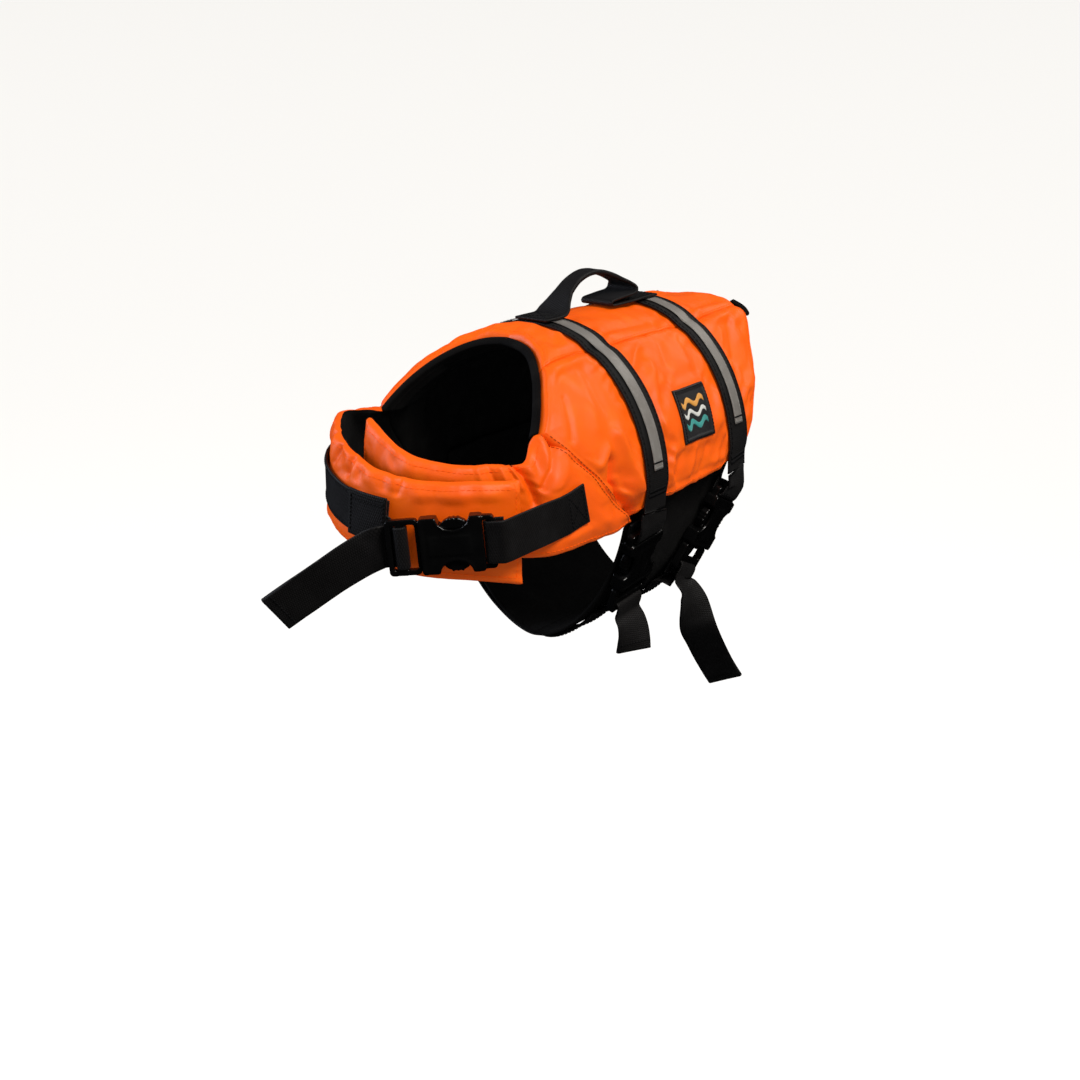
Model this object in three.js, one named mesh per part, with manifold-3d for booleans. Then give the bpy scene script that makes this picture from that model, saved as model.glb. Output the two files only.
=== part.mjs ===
// Dog life jacket in its worn form. Millimetres, +Z up, the chest opening faces -Y and the
// jacket's left side is +X. The origin is on the spine, at the foam's inner face, midway
// between the two bands.
import * as THREE from "three";
import { mergeVertices } from "three/addons/utils/BufferGeometryUtils.js";
import Module from "manifold-3d";

const wasm = await Module();
wasm.setup();

// Driving sizes
const clothGap = 0.3; // between pieces at a seam
const layGap = 0.6; // between a panel and what lies on it
const stackGap = 0.3; // between two layers of webbing
const foamThick = 12; // saddle, cloth and foam together
const foamEdge = 4.5; // saddle at its sewn edges
const flapThick = 9.5;
const flapEdge = 3.5;
const webWidth = 25;
const webThick = 1.6;
const tapeWidth = 10;
const tapeThick = 0.6;
const bandPlaces = [-52.5, 52.5]; // front and rear band along Y
const channelAngle = 29; // degrees round the girth from the spine to the lengthwise seams
const waistZ = -83; // height of the widest line
const keel = 1.18; // above 1 the belly side narrows towards the bottom

// Girth of the outer cloth, a row for each station from neck to tail:
// half width at the widest line, height at the spine, height at the belly
const girthRows = [
  { y: -165, half: 70, crown: -6, belly: -196 },
  { y: -140, half: 78.5, crown: 2, belly: -205 },
  { y: -112, half: 84, crown: 9, belly: -210 },
  { y: -84, half: 87, crown: 12, belly: -212 },
  { y: -52, half: 87.5, crown: 12, belly: -212 },
  { y: 0, half: 86, crown: 12, belly: -211 },
  { y: 52, half: 83, crown: 12, belly: -209 },
  { y: 88, half: 80, crown: 12.5, belly: -204 },
  { y: 118, half: 77, crown: 13, belly: -198 },
  { y: 140, half: 75, crown: 13, belly: -192 },
];

// Front cut of the saddle, spine to lower corner: the neck edge, then the shoulder seam
const neckRows = [
  { angle: 0, y: -88 },
  { angle: 15, y: -93 },
  { angle: 29, y: -107 },
  { angle: 40, y: -120 },
  { angle: 48, y: -129 },
  { angle: 55, y: -137 },
];
const shoulderRows = [
  { z: -34, y: -137 },
  { z: -44, y: -129 },
  { z: -57, y: -117 },
  { z: -66, y: -108 },
  { z: -75, y: -101 },
  { z: -86, y: -90 },
  { z: -102, y: -72 },
];
// Rear cut of the saddle, spine to lower corner
const rearRows = [
  { angle: 0, y: 124 },
  { angle: 30, y: 121 },
  { angle: 43, y: 113 },
  { angle: 52, y: 105 },
  { angle: 64, y: 94 },
  { angle: 71, y: 87 },
  { angle: 82, y: 76 },
  { angle: 93, y: 66 },
];
const hemRows = [
  { y: -72, z: -98 },
  { y: -50, z: -94.5 },
  { y: 0, z: -92 },
  { y: 42, z: -89.5 },
  { y: 64, z: -87 },
];

// Plan of the chest ring: half width and half depth of its round front
const ringHalf = 82;
const ringDepth = 91;
const ringY = -127;
const ringBack = { x: 86.5, y: -72 };

// Chest flaps, a row for each place along the ring from the lower shoulder corner (q = 0):
// height of the top rim and of the bottom edge, and how far the face lies inside the ring
const leftFlapRows = [
  { q: 0, top: -34, bottom: -103, inset: 0 },
  { q: 64, top: -34, bottom: -104, inset: 0 },
  { q: 76, top: -46, bottom: -104.5, inset: 1 },
  { q: 88, top: -48.5, bottom: -105, inset: 7 },
  { q: 100, top: -49.5, bottom: -104, inset: 10.2 },
  { q: 134, top: -49, bottom: -102, inset: 10.6 },
  { q: 164, top: -46, bottom: -99, inset: 12 },
  { q: 189, top: -41, bottom: -95, inset: 14.5 },
  { q: 212, top: -34, bottom: -90, inset: 16 },
  { q: 229, top: -30, bottom: -86, inset: 16 },
];
const rightFlapRows = [
  { q: 0, top: -34, bottom: -102, inset: 0 },
  { q: 64, top: -34, bottom: -98, inset: 0 },
  { q: 79, top: -33, bottom: -95, inset: 0 },
  { q: 104, top: -34, bottom: -93, inset: 0 },
  { q: 134, top: -40, bottom: -94, inset: 0 },
  { q: 164, top: -46, bottom: -98, inset: 0 },
  { q: 189, top: -52, bottom: -104, inset: 0 },
  { q: 219, top: -55.5, bottom: -109, inset: 0 },
  { q: 254, top: -56, bottom: -112, inset: 0 },
  { q: 283, top: -57.5, bottom: -117, inset: 0 },
];
const leftFlapEnd = 229;
const rightFlapEnd = 283;

const colours = {
  orange: 0xff6a1a,
  orangeTop: 0xff7a30,
  coral: 0xff6242,
  black: 0x141416,
  lining: 0x101012,
  tape: 0x8a847c,
  plastic: 0x0c0c0e,
  label: 0x1c1c1e,
};
const finish = { cloth: 0.6, lining: 0.8, webbing: 0.85, tape: 0.4, plastic: 0.35, label: 0.7 };
const settleSteps = 8; // rounds in which a place and the edge beside it settle on each other

const degrees = Math.PI / 180;
const clamp = (value, low, high) => Math.min(high, Math.max(low, value));
const mix = (a, b, t) => a + (b - a) * t;
const ease = (t) => t * t * (3 - 2 * t);

// Value of a table's column between its rows, on a smooth curve
function lookup(rows, key, at, column) {
  const last = rows.length - 1;
  if (at <= rows[0][key]) return rows[0][column];
  if (at >= rows[last][key]) return rows[last][column];
  let i = 0;
  while (at > rows[i + 1][key]) i += 1;
  const slopeAt = (k) => {
    const before = rows[Math.max(0, k - 1)];
    const after = rows[Math.min(last, k + 1)];
    return (after[column] - before[column]) / (after[key] - before[key]);
  };
  const span = rows[i + 1][key] - rows[i][key];
  const t = (at - rows[i][key]) / span;
  const a = rows[i][column];
  const b = rows[i + 1][column];
  const up = t * t * (3 - 2 * t);
  return a + (b - a) * up + span * (slopeAt(i) * t * (1 - t) ** 2 - slopeAt(i + 1) * t * t * (1 - t));
}

// Round shoulder of a padded edge: 0 at the edge, 1 from the given width inwards
function padRise(distance, width) {
  const t = clamp(distance / width, 0, 1);
  return Math.sqrt(1 - (1 - t) ** 2);
}

// Girth section: angle 0 is the spine, 90 the widest line, 180 the belly
function girthPoint(y, angle, offset) {
  const half = lookup(girthRows, "y", y, "half");
  const crown = lookup(girthRows, "y", y, "crown");
  const belly = lookup(girthRows, "y", y, "belly");
  const place = (a) => {
    const s = Math.sin(a * degrees);
    const c = Math.cos(a * degrees);
    const x = half * (c < 0 ? Math.sign(s) * Math.abs(s) ** keel : s);
    return new THREE.Vector3(x, y, waistZ + (c < 0 ? waistZ - belly : crown - waistZ) * c);
  };
  const step = 0.5;
  const along = place(angle + step).sub(place(angle - step));
  const normal = new THREE.Vector3(-along.z, 0, along.x).normalize();
  return place(angle).addScaledVector(normal, offset);
}

function angleAtHeight(y, z) {
  const crown = lookup(girthRows, "y", y, "crown");
  const belly = lookup(girthRows, "y", y, "belly");
  const reach = z > waistZ ? crown - waistZ : waistZ - belly;
  return Math.acos(clamp((z - waistZ) / reach, -1, 1)) / degrees;
}

// Front edge of the saddle at a girth angle: neck edge above, shoulder seam below
const neckCorner = neckRows[neckRows.length - 1];
const shoulderByDepth = shoulderRows.map((row) => ({ depth: -row.z, y: row.y }));
const shoulderY = (z) => lookup(shoulderByDepth, "depth", -z, "y");
const shoulderByAngle = shoulderRows.map((row) => ({ angle: angleAtHeight(row.y, row.z), y: row.y }));
function frontEdge(angle) {
  const a = Math.abs(angle);
  if (a <= neckCorner.angle) return lookup(neckRows, "angle", a, "y");
  return lookup(shoulderByAngle, "angle", a, "y");
}
const rearEdge = (angle) => lookup(rearRows, "angle", Math.abs(angle), "y");
const hemAngle = (y) => angleAtHeight(y, lookup(hemRows, "y", y, "z"));

// Soft folds pressed into or raised from the saddle's outer cloth, a row for each:
// centre, half length and half width in millimetres, lean from upright, and height
const foldRows = [
  { side: 1, y: -20, angle: 55, long: 30, wide: 7, lean: -8, rise: 1.6 },
  { side: 1, y: -4, angle: 68, long: 26, wide: 6, lean: 10, rise: -1.4 },
  { side: 1, y: 12, angle: 52, long: 30, wide: 8, lean: 6, rise: 1.5 },
  { side: 1, y: 32, angle: 66, long: 30, wide: 6, lean: -6, rise: 1.2 },
  { side: 1, y: -84, angle: 66, long: 30, wide: 7, lean: 24, rise: 2.6 },
  { side: 1, y: -92, angle: 52, long: 26, wide: 6, lean: 12, rise: -1.8 },
  { side: 1, y: -76, angle: 86, long: 16, wide: 5, lean: -16, rise: 2.4 },
  { side: 1, y: 84, angle: 48, long: 24, wide: 8, lean: -20, rise: -1.6 },
  { side: -1, y: -24, angle: 58, long: 30, wide: 7, lean: 8, rise: 1.5 },
  { side: -1, y: 2, angle: 64, long: 28, wide: 7, lean: -7, rise: -1.3 },
  { side: -1, y: 24, angle: 55, long: 30, wide: 8, lean: 9, rise: 1.6 },
  { side: -1, y: -86, angle: 64, long: 30, wide: 7, lean: 20, rise: 2.4 },
  { side: -1, y: -96, angle: 50, long: 24, wide: 6, lean: 10, rise: -1.6 },
  { side: -1, y: 82, angle: 50, long: 22, wide: 8, lean: -18, rise: -1.5 },
];
const girthPerDegree = 1.53; // millimetres of cloth round the saddle

function foldRise(y, angle) {
  let rise = 0;
  for (const fold of foldRows) {
    if (Math.sign(angle) !== fold.side) continue;
    const down = (Math.abs(angle) - fold.angle) * girthPerDegree;
    const across = y - fold.y - down * Math.tan(fold.lean * degrees);
    rise += fold.rise * Math.exp(-((down / fold.long) ** 2) - (across / fold.wide) ** 2);
  }
  return rise;
}

// How far the saddle's outer cloth lies from the girth surface
const channelValley = 1.8;
const channelWidth = 12; // from the lengthwise seam to the full padding
const channelFill = 0.25; // share of the padding left at the lengthwise seam
const edgeDrop = 3.6;
const padWidth = 15; // from a sewn edge to the full padding
const bandDip = 2.2;
const bandDipReach = 18;
function edgeRise(y, angle) {
  const a = Math.abs(angle);
  const front = padRise(y - frontEdge(a), padWidth);
  const rear = padRise(rearEdge(a) - y, padWidth);
  const hem = padRise((hemAngle(y) - a) * girthPerDegree, padWidth);
  return front * rear * hem;
}
function channelRise(angle) {
  return padRise(Math.abs(Math.abs(angle) - channelAngle) * girthPerDegree, channelWidth);
}
function saddleOuter(y, angle) {
  const valley = channelValley * (1 - channelRise(angle));
  const drop = edgeDrop * (1 - edgeRise(y, angle));
  let dip = 0;
  for (const place of bandPlaces) dip += bandDip * Math.exp(-(((y - place) / bandDipReach) ** 6));
  return foldRise(y, angle) - valley - drop - dip;
}
function saddleThickness(y, angle) {
  return mix(foamEdge, foamThick, edgeRise(y, angle) * mix(channelFill, 1, channelRise(angle)));
}
function saddleInner(y, angle) {
  return saddleOuter(y, angle) - saddleThickness(y, angle);
}

// Closed wall between two grids of points, joined round its four edges
function wallGeometry(columns, rows, outerAt, innerAt) {
  const points = [];
  const index = [];
  for (const surface of [outerAt, innerAt]) {
    for (let i = 0; i <= columns; i += 1) {
      for (let j = 0; j <= rows; j += 1) points.push(surface(i / columns, j / rows));
    }
  }
  const outer = (i, j) => i * (rows + 1) + j;
  const inner = (i, j) => (columns + 1) * (rows + 1) + outer(i, j);
  const quad = (a, b, c, d) => index.push(a, b, c, a, c, d);
  for (let i = 0; i < columns; i += 1) {
    for (let j = 0; j < rows; j += 1) {
      quad(outer(i, j), outer(i + 1, j), outer(i + 1, j + 1), outer(i, j + 1));
      quad(inner(i, j), inner(i, j + 1), inner(i + 1, j + 1), inner(i + 1, j));
    }
  }
  for (let i = 0; i < columns; i += 1) {
    quad(outer(i, 0), inner(i, 0), inner(i + 1, 0), outer(i + 1, 0));
    quad(outer(i, rows), outer(i + 1, rows), inner(i + 1, rows), inner(i, rows));
  }
  for (let j = 0; j < rows; j += 1) {
    quad(outer(0, j), outer(0, j + 1), inner(0, j + 1), inner(0, j));
    quad(outer(columns, j), inner(columns, j), inner(columns, j + 1), outer(columns, j + 1));
  }
  return solidGeometry(points, index);
}

// Flat strip swept along stations { at, across, width, thick }
function stripGeometry(stations) {
  const points = [];
  const index = [];
  stations.forEach((station, i) => {
    const before = stations[Math.max(0, i - 1)].at;
    const after = stations[Math.min(stations.length - 1, i + 1)].at;
    const along = after.clone().sub(before).normalize();
    const across = station.across.clone().addScaledVector(along, -along.dot(station.across)).normalize();
    const face = new THREE.Vector3().crossVectors(along, across);
    for (const [w, h] of [[-0.5, -0.5], [0.5, -0.5], [0.5, 0.5], [-0.5, 0.5]]) {
      const corner = station.at.clone().addScaledVector(across, w * station.width);
      points.push(corner.addScaledVector(face, h * station.thick));
    }
  });
  const quad = (a, b, c, d) => index.push(a, b, c, a, c, d);
  for (let i = 0; i < stations.length - 1; i += 1) {
    for (let k = 0; k < 4; k += 1) {
      const next = (k + 1) % 4;
      quad(i * 4 + k, (i + 1) * 4 + k, (i + 1) * 4 + next, i * 4 + next);
    }
  }
  const end = (stations.length - 1) * 4;
  quad(0, 1, 2, 3);
  quad(end, end + 3, end + 2, end + 1);
  return solidGeometry(points, index);
}

// Indexed geometry with its faces turned outwards
function solidGeometry(points, index) {
  let volume = 0;
  for (let i = 0; i < index.length; i += 3) {
    const [a, b, c] = [points[index[i]], points[index[i + 1]], points[index[i + 2]]];
    volume += a.dot(new THREE.Vector3().crossVectors(b, c)) / 6;
  }
  if (volume < 0) index.reverse();
  const geometry = new THREE.BufferGeometry().setFromPoints(points);
  geometry.setIndex(index);
  geometry.computeVertexNormals();
  return geometry;
}

function toManifold(geometry) {
  const plain = geometry.clone();
  plain.deleteAttribute("normal");
  plain.deleteAttribute("uv");
  const merged = mergeVertices(plain, 1e-4);
  return new wasm.Manifold(new wasm.Mesh({
    numProp: 3,
    vertProperties: new Float32Array(merged.attributes.position.array),
    triVerts: new Uint32Array(merged.index.array),
  }));
}

function fromManifold(solid) {
  const mesh = solid.getMesh();
  const geometry = new THREE.BufferGeometry();
  geometry.setAttribute("position", new THREE.BufferAttribute(new Float32Array(mesh.vertProperties), 3));
  geometry.setIndex(new THREE.BufferAttribute(new Uint32Array(mesh.triVerts), 1));
  const faceted = geometry.toNonIndexed();
  faceted.computeVertexNormals();
  return faceted;
}

const jacket = new THREE.Group();
jacket.name = "dog_life_jacket";

function addPiece(name, geometry, colour, roughness) {
  const material = new THREE.MeshStandardMaterial({ color: colour, roughness, metalness: 0 });
  const mesh = new THREE.Mesh(geometry, material);
  mesh.name = name;
  jacket.add(mesh);
  return mesh;
}

// Saddle: spine chamber and two side chambers, sewn along the two lengthwise seams
const saddleGrid = { along: 30, topRound: 12, sideRound: 20 };
function buildSaddle() {
  const seamHalf = clothGap / 2;
  const seamAngle = channelAngle - seamHalf / girthPerDegree;
  const topAt = (layer) => (u, v) => {
    const angle = mix(-seamAngle, seamAngle, v);
    const y = mix(frontEdge(angle), rearEdge(angle), u);
    return girthPoint(y, angle, layer(y, angle));
  };
  const { along, topRound, sideRound } = saddleGrid;
  const top = wallGeometry(along, topRound, topAt(saddleOuter), topAt(saddleInner));
  addPiece("saddle_top", top, colours.orangeTop, finish.cloth);
  for (const [name, side] of [["saddle_left", 1], ["saddle_right", -1]]) {
    const sideAt = (layer) => (u, v) => {
      const start = channelAngle + seamHalf / girthPerDegree;
      let y = mix(hemRows[0].y, hemRows[hemRows.length - 1].y, u);
      let angle = start;
      for (let i = 0; i < settleSteps; i += 1) {
        angle = mix(start, hemAngle(y), v);
        y = mix(frontEdge(angle) + (angle > neckCorner.angle ? seamHalf : 0), rearEdge(angle), u);
      }
      return girthPoint(y, side * angle, layer(y, side * angle));
    };
    const wall = wallGeometry(along, sideRound, sideAt(saddleOuter), sideAt(saddleInner));
    addPiece(name, wall, colours.orange, finish.cloth);
  }
}

// Plan point of the chest ring at a distance along it from the lower shoulder corner
const ringStraight = Math.hypot(ringBack.x - ringHalf, ringBack.y - ringY);
const ringTurns = 200;
const ringTable = [{ q: 0, turn: 0 }];
for (let i = 1; i <= ringTurns; i += 1) {
  const turn = (i / ringTurns) * Math.PI;
  const mid = turn - Math.PI / ringTurns / 2;
  const speed = Math.hypot(ringHalf * Math.sin(mid), ringDepth * Math.cos(mid));
  ringTable.push({ q: ringTable[i - 1].q + (speed * Math.PI) / ringTurns, turn });
}
function ringPoint(q, z, offset) {
  if (q <= ringStraight) {
    const t = q / ringStraight;
    const along = new THREE.Vector3(ringHalf - ringBack.x, ringY - ringBack.y, 0).normalize();
    const point = new THREE.Vector3(mix(ringBack.x, ringHalf, t), mix(ringBack.y, ringY, t), z);
    return point.addScaledVector(new THREE.Vector3(-along.y, along.x, 0), offset);
  }
  const turn = lookup(ringTable, "q", q - ringStraight, "turn");
  const point = new THREE.Vector3(ringHalf * Math.cos(turn), ringY - ringDepth * Math.sin(turn), z);
  const normal = new THREE.Vector3(Math.cos(turn) / ringHalf, -Math.sin(turn) / ringDepth, 0);
  return point.addScaledVector(normal.normalize(), offset);
}

// Chest flap: leaves the side chamber at the shoulder seam and runs round the chest ring.
// u goes along the ring, v from the top rim to the bottom edge.
const rimLean = 3; // the top rim leans in towards the neck
const flapHeight = 56;
const flapRim = 10; // from the rim and the bottom edge to the full padding
const flapEndRim = 8;
const flapEdgeDrop = 1.8;
const flapCrowd = 1.15; // the grid is closer near the shoulder seam
const shoulderBlend = 46; // over which the flap turns from the girth on to the ring
const rowBlend = 19; // over which its height passes from the seam to the table
function flapGeometryAt(rows, end, side) {
  const seamHalf = clothGap * 0.9;
  const corner = shoulderRows[0];
  const foot = shoulderRows[shoulderRows.length - 1];
  return (u, v, depth) => {
    const seamZ = mix(corner.z, foot.z, v);
    const seamY = shoulderY(seamZ) - seamHalf;
    const seamQ = ringBack.y - seamY;
    const q = mix(seamQ, end, u ** flapCrowd);
    const away = clamp((q - seamQ) / shoulderBlend, 0, 1);
    const rowTop = lookup(rows, "q", q, "top");
    const rowBottom = lookup(rows, "q", q, "bottom");
    const z = mix(seamZ, mix(rowTop, rowBottom, v), ease(clamp((q - seamQ) / rowBlend, 0, 1)));
    const inset = lookup(rows, "q", q, "inset");
    const rimRise = padRise(Math.min(v, 1 - v) * flapHeight, flapRim);
    const endRise = padRise(end - q, flapEndRim);
    const thick = mix(flapEdge, flapThick, rimRise * endRise * mix(0.75, 1, away));
    const drop = flapEdgeDrop * (1 - rimRise * endRise);
    const outer = -inset - drop - rimLean * (1 - v) ** 2 * ease(away);
    const offset = outer - depth * thick;
    const y = ringBack.y - q;
    const blend = ease(away);
    const onRing = ringPoint(q, z, offset);
    if (blend < 1) {
      const angle = angleAtHeight(y, z);
      const dip = mix(saddleOuter(seamY + 1, side * angle), 0, ease(clamp(away * 2, 0, 1)));
      onRing.lerp(girthPoint(y, angle, offset + Math.min(dip, 0)), 1 - blend);
    }
    onRing.x *= side;
    return onRing;
  };
}
const leftFlapAt = flapGeometryAt(leftFlapRows, leftFlapEnd, 1);
const rightFlapAt = flapGeometryAt(rightFlapRows, rightFlapEnd, -1);

const flapGrid = { left: 34, right: 42, across: 10 };
function buildFlaps() {
  const wall = (along, flapAt) => wallGeometry(
    along, flapGrid.across, (u, v) => flapAt(u, v, 0), (u, v) => flapAt(u, v, 1),
  );
  addPiece("chest_flap_left", wall(flapGrid.left, leftFlapAt), colours.orange, finish.cloth);
  addPiece("chest_flap_right", wall(flapGrid.right, rightFlapAt), colours.coral, finish.cloth);
}

// Point on a flap's outer face at a distance q along the ring and a height z, with its
// outward normal
const searchSteps = 24;
function onFlap(flapAt, end, q, z) {
  let u = 0.5;
  let v = 0.5;
  for (let i = 0; i < searchSteps; i += 1) {
    const here = flapAt(u, v, 0);
    v = clamp(v + (here.z - z) / flapHeight, 0, 1);
    const seamZ = mix(shoulderRows[0].z, shoulderRows[shoulderRows.length - 1].z, v);
    const seamQ = ringBack.y - shoulderY(seamZ);
    u = clamp((q - seamQ) / (end - seamQ), 0, 1) ** (1 / flapCrowd);
  }
  const at = flapAt(u, v, 0);
  const normal = at.clone().sub(flapAt(u, v, 1)).normalize();
  return { at, normal };
}

// Station of a strip that crosses the garment along Y at a girth angle: level with the highest
// cloth under its width, so that it bridges the hollows
const liftPlaces = [0.2, 0.35, 0.5, 0.65, 0.8];
function girthStation(layer, y, angle, width, gap, thick) {
  const on = (at) => girthPoint(at, angle, layer(at, angle));
  const a = on(y - width / 2);
  const b = on(y + width / 2);
  const normal = girthPoint(y, angle, 1).sub(girthPoint(y, angle, 0));
  let lift = 0;
  for (const t of liftPlaces) {
    const chord = a.clone().lerp(b, t);
    lift = Math.max(lift, on(mix(y - width / 2, y + width / 2, t)).sub(chord).dot(normal));
  }
  const at = a.clone().lerp(b, 0.5).addScaledVector(normal, lift + gap + thick / 2);
  return { at, across: b.clone().sub(a), width, thick, normal, angle };
}

// Side-release buckle for 25 mm webbing, in its own frame: X from the slotted male half to the
// female half, Y across the webbing, Z outwards
const buckle = {
  half: 31, // half length when closed
  width: 33,
  split: -12, // where the male half's frame meets the female body
  bar: 3, // end bar beyond the webbing slot
  slot: 3.6,
  crossBar: 3.6,
  window: 6.6,
  barThick: 5,
  thick: 9,
  slotWidth: 26.4,
  corner: { body: 2, end: 2.4, slot: 0.8 },
  taper: 1.5, // the female end is this much narrower
  overlap: 4, // its end plate reaches into its body
  notch: { x: 7.7, long: 9.6, deep: 7.4 }, // where the prongs show
  prong: { x: 8.2, y: 12.2, long: 7.2, wide: 3.2, thick: 5, sides: 12 },
  arm: { from: -13, to: 4, y: 10.6, wide: 3 },
  tongue: { from: -13, to: 8, wide: 7 },
  play: 0.3, // round the prongs and the tongue in the female body
  spring: 2.4, // room for a pressed prong
};

function roundedBlock(x0, x1, width, thick, radius) {
  const shape = new THREE.Shape();
  const y = width / 2;
  shape.moveTo(x0 + radius, -y);
  shape.lineTo(x1 - radius, -y);
  shape.absarc(x1 - radius, -y + radius, radius, -Math.PI / 2, 0, false);
  shape.lineTo(x1, y - radius);
  shape.absarc(x1 - radius, y - radius, radius, 0, Math.PI / 2, false);
  shape.lineTo(x0 + radius, y);
  shape.absarc(x0 + radius, y - radius, radius, Math.PI / 2, Math.PI, false);
  shape.lineTo(x0, -y + radius);
  shape.absarc(x0 + radius, -y + radius, radius, Math.PI, Math.PI * 1.5, false);
  const solid = new THREE.ExtrudeGeometry(shape, { depth: thick, bevelEnabled: false, curveSegments: 2 });
  return toManifold(solid.translate(0, 0, -thick / 2));
}

function roundPad(x, y, long, wide, thick) {
  const pad = new THREE.CylinderGeometry(1, 1, thick, buckle.prong.sides);
  pad.rotateX(Math.PI / 2);
  pad.scale(long, wide, 1);
  return toManifold(pad.translate(x, y, 0));
}
function plainBlock(from, to, low, high, thick) {
  const block = new THREE.BoxGeometry(to - from, high - low, thick);
  return toManifold(block.translate((from + to) / 2, (low + high) / 2, 0));
}

function femaleGeometry() {
  const { half, width, split, bar, slot, barThick, thick, slotWidth, corner, notch } = buckle;
  const { prong, arm, tongue, play, spring } = buckle;
  const slotAt = half - bar - slot;
  let body = roundedBlock(split, slotAt, width, thick, corner.body);
  const endPlate = roundedBlock(slotAt - buckle.overlap, half, width - buckle.taper, barThick, corner.end);
  body = body.add(endPlate);
  body = body.subtract(plainBlock(slotAt, half - bar, -slotWidth / 2, slotWidth / 2, thick * 2));
  const high = prong.thick + 2 * play;
  const reach = tongue.wide / 2 + play;
  body = body.subtract(plainBlock(split - 1, tongue.to + play, -reach, reach, high));
  for (const side of [-1, 1]) {
    const inner = side * (arm.y - arm.wide / 2 - spring);
    const outer = side * (arm.y + arm.wide / 2 + play);
    const low = Math.min(inner, outer);
    const top = Math.max(inner, outer);
    body = body.subtract(plainBlock(split - 1, prong.x + prong.long + play, low, top, high));
    body = body.subtract(roundPad(notch.x, (side * width) / 2, notch.long, notch.deep, thick * 2));
  }
  return fromManifold(body);
}

function maleGeometry() {
  const { half, width, split, bar, slot, barThick, slotWidth, corner, prong, arm, tongue } = buckle;
  const slotEnd = -half + bar + slot;
  const windowFrom = slotEnd + buckle.crossBar;
  const windowTo = windowFrom + buckle.window;
  const reach = slotWidth / 2;
  let body = roundedBlock(-half, split - clothGap, width, barThick, corner.end);
  body = body.subtract(plainBlock(-half + bar, slotEnd, -reach, reach, barThick * 2));
  body = body.subtract(roundedBlock(windowFrom, windowTo, slotWidth, barThick * 2, corner.slot));
  body = body.add(plainBlock(tongue.from, tongue.to, -tongue.wide / 2, tongue.wide / 2, prong.thick));
  for (const side of [-1, 1]) {
    const low = side * arm.y - arm.wide / 2;
    body = body.add(plainBlock(arm.from, arm.to, low, low + arm.wide, prong.thick));
    body = body.add(roundPad(prong.x, side * prong.y, prong.long, prong.wide, prong.thick));
  }
  return fromManifold(body);
}

function buckleFrame(centre, along, outwards) {
  const x = along.clone().normalize();
  const z = outwards.clone().addScaledVector(x, -x.dot(outwards)).normalize();
  const y = new THREE.Vector3().crossVectors(z, x);
  return new THREE.Matrix4().makeBasis(x, y, z).setPosition(centre);
}

function addBuckle(name, frame) {
  for (const [part, geometry] of [["female", femaleGeometry()], ["male", maleGeometry()]]) {
    const mesh = addPiece(`${name}_${part}`, geometry, colours.plastic, finish.plastic);
    frame.decompose(mesh.position, mesh.quaternion, mesh.scale);
    mesh.scale.set(1, 1, 1);
  }
}

// Webbing round an end bar of the buckle, from its outer layer through the slot to its inner
// layer: distance along the buckle beyond its middle, and height
const loopRows = [
  { out: 36, up: 4.4 },
  { out: 32, up: 4.3 },
  { out: 28.6, up: 4.1 },
  { out: 26.9, up: 3.2 },
  { out: 26.2, up: 1.2 },
  { out: 26.2, up: -1.2 },
  { out: 26.9, up: -3.2 },
  { out: 28.6, up: -4.1 },
  { out: 32, up: -4.2 },
  { out: 36, up: -3.9 },
];
function loopStations(frame, end) {
  const across = new THREE.Vector3(0, 1, 0).transformDirection(frame);
  return loopRows.map(({ out, up }) => ({
    at: new THREE.Vector3(end * out, 0, up).applyMatrix4(frame),
    across: across.clone(),
    width: webWidth,
    thick: webThick,
  }));
}
// The strap's folded end: its last stations, two layers thick
const foldedThick = webThick * 2.1;
const withFoldedEnd = (stations) => stations.map((station, i) => (
  i >= stations.length - 2 ? { ...station, thick: foldedThick } : station
));

// Belly panel: wraps from inside the left hem under the chest to inside the right hem
const bellyDepth = 14.6;
const bellyThick = 2.5;
const tuckGap = 0.8; // between the panel's tucked ends and the saddle's inner face
const bellyTuck = 6; // degrees that each end reaches up inside the saddle
const bellyTurn = 9; // degrees below the hem over which the panel reaches its own depth
const bellyGrid = { round: 42, along: 7 };
const bellyFront = -61;
const bellyRear = 60;
function bellyOuter(y, angle) {
  const folded = angle > 180 ? angle - 360 : angle;
  const hem = hemAngle(y);
  const inside = saddleInner(y, Math.sign(folded) * Math.min(Math.abs(folded), hem)) - tuckGap;
  return mix(inside, -bellyDepth, ease(clamp((Math.abs(folded) - hem) / bellyTurn, 0, 1)));
}
function buildBelly() {
  const at = (depth) => (u, v) => {
    const y = mix(bellyFront, bellyRear, v);
    const angle = mix(hemAngle(y) - bellyTuck, 360 - hemAngle(y) + bellyTuck, u);
    return girthPoint(y, angle, bellyOuter(y, angle) - depth * bellyThick);
  };
  const wall = wallGeometry(bellyGrid.round, bellyGrid.along, at(0), at(1));
  addPiece("belly_panel", wall, colours.lining, finish.lining);
}

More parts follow.
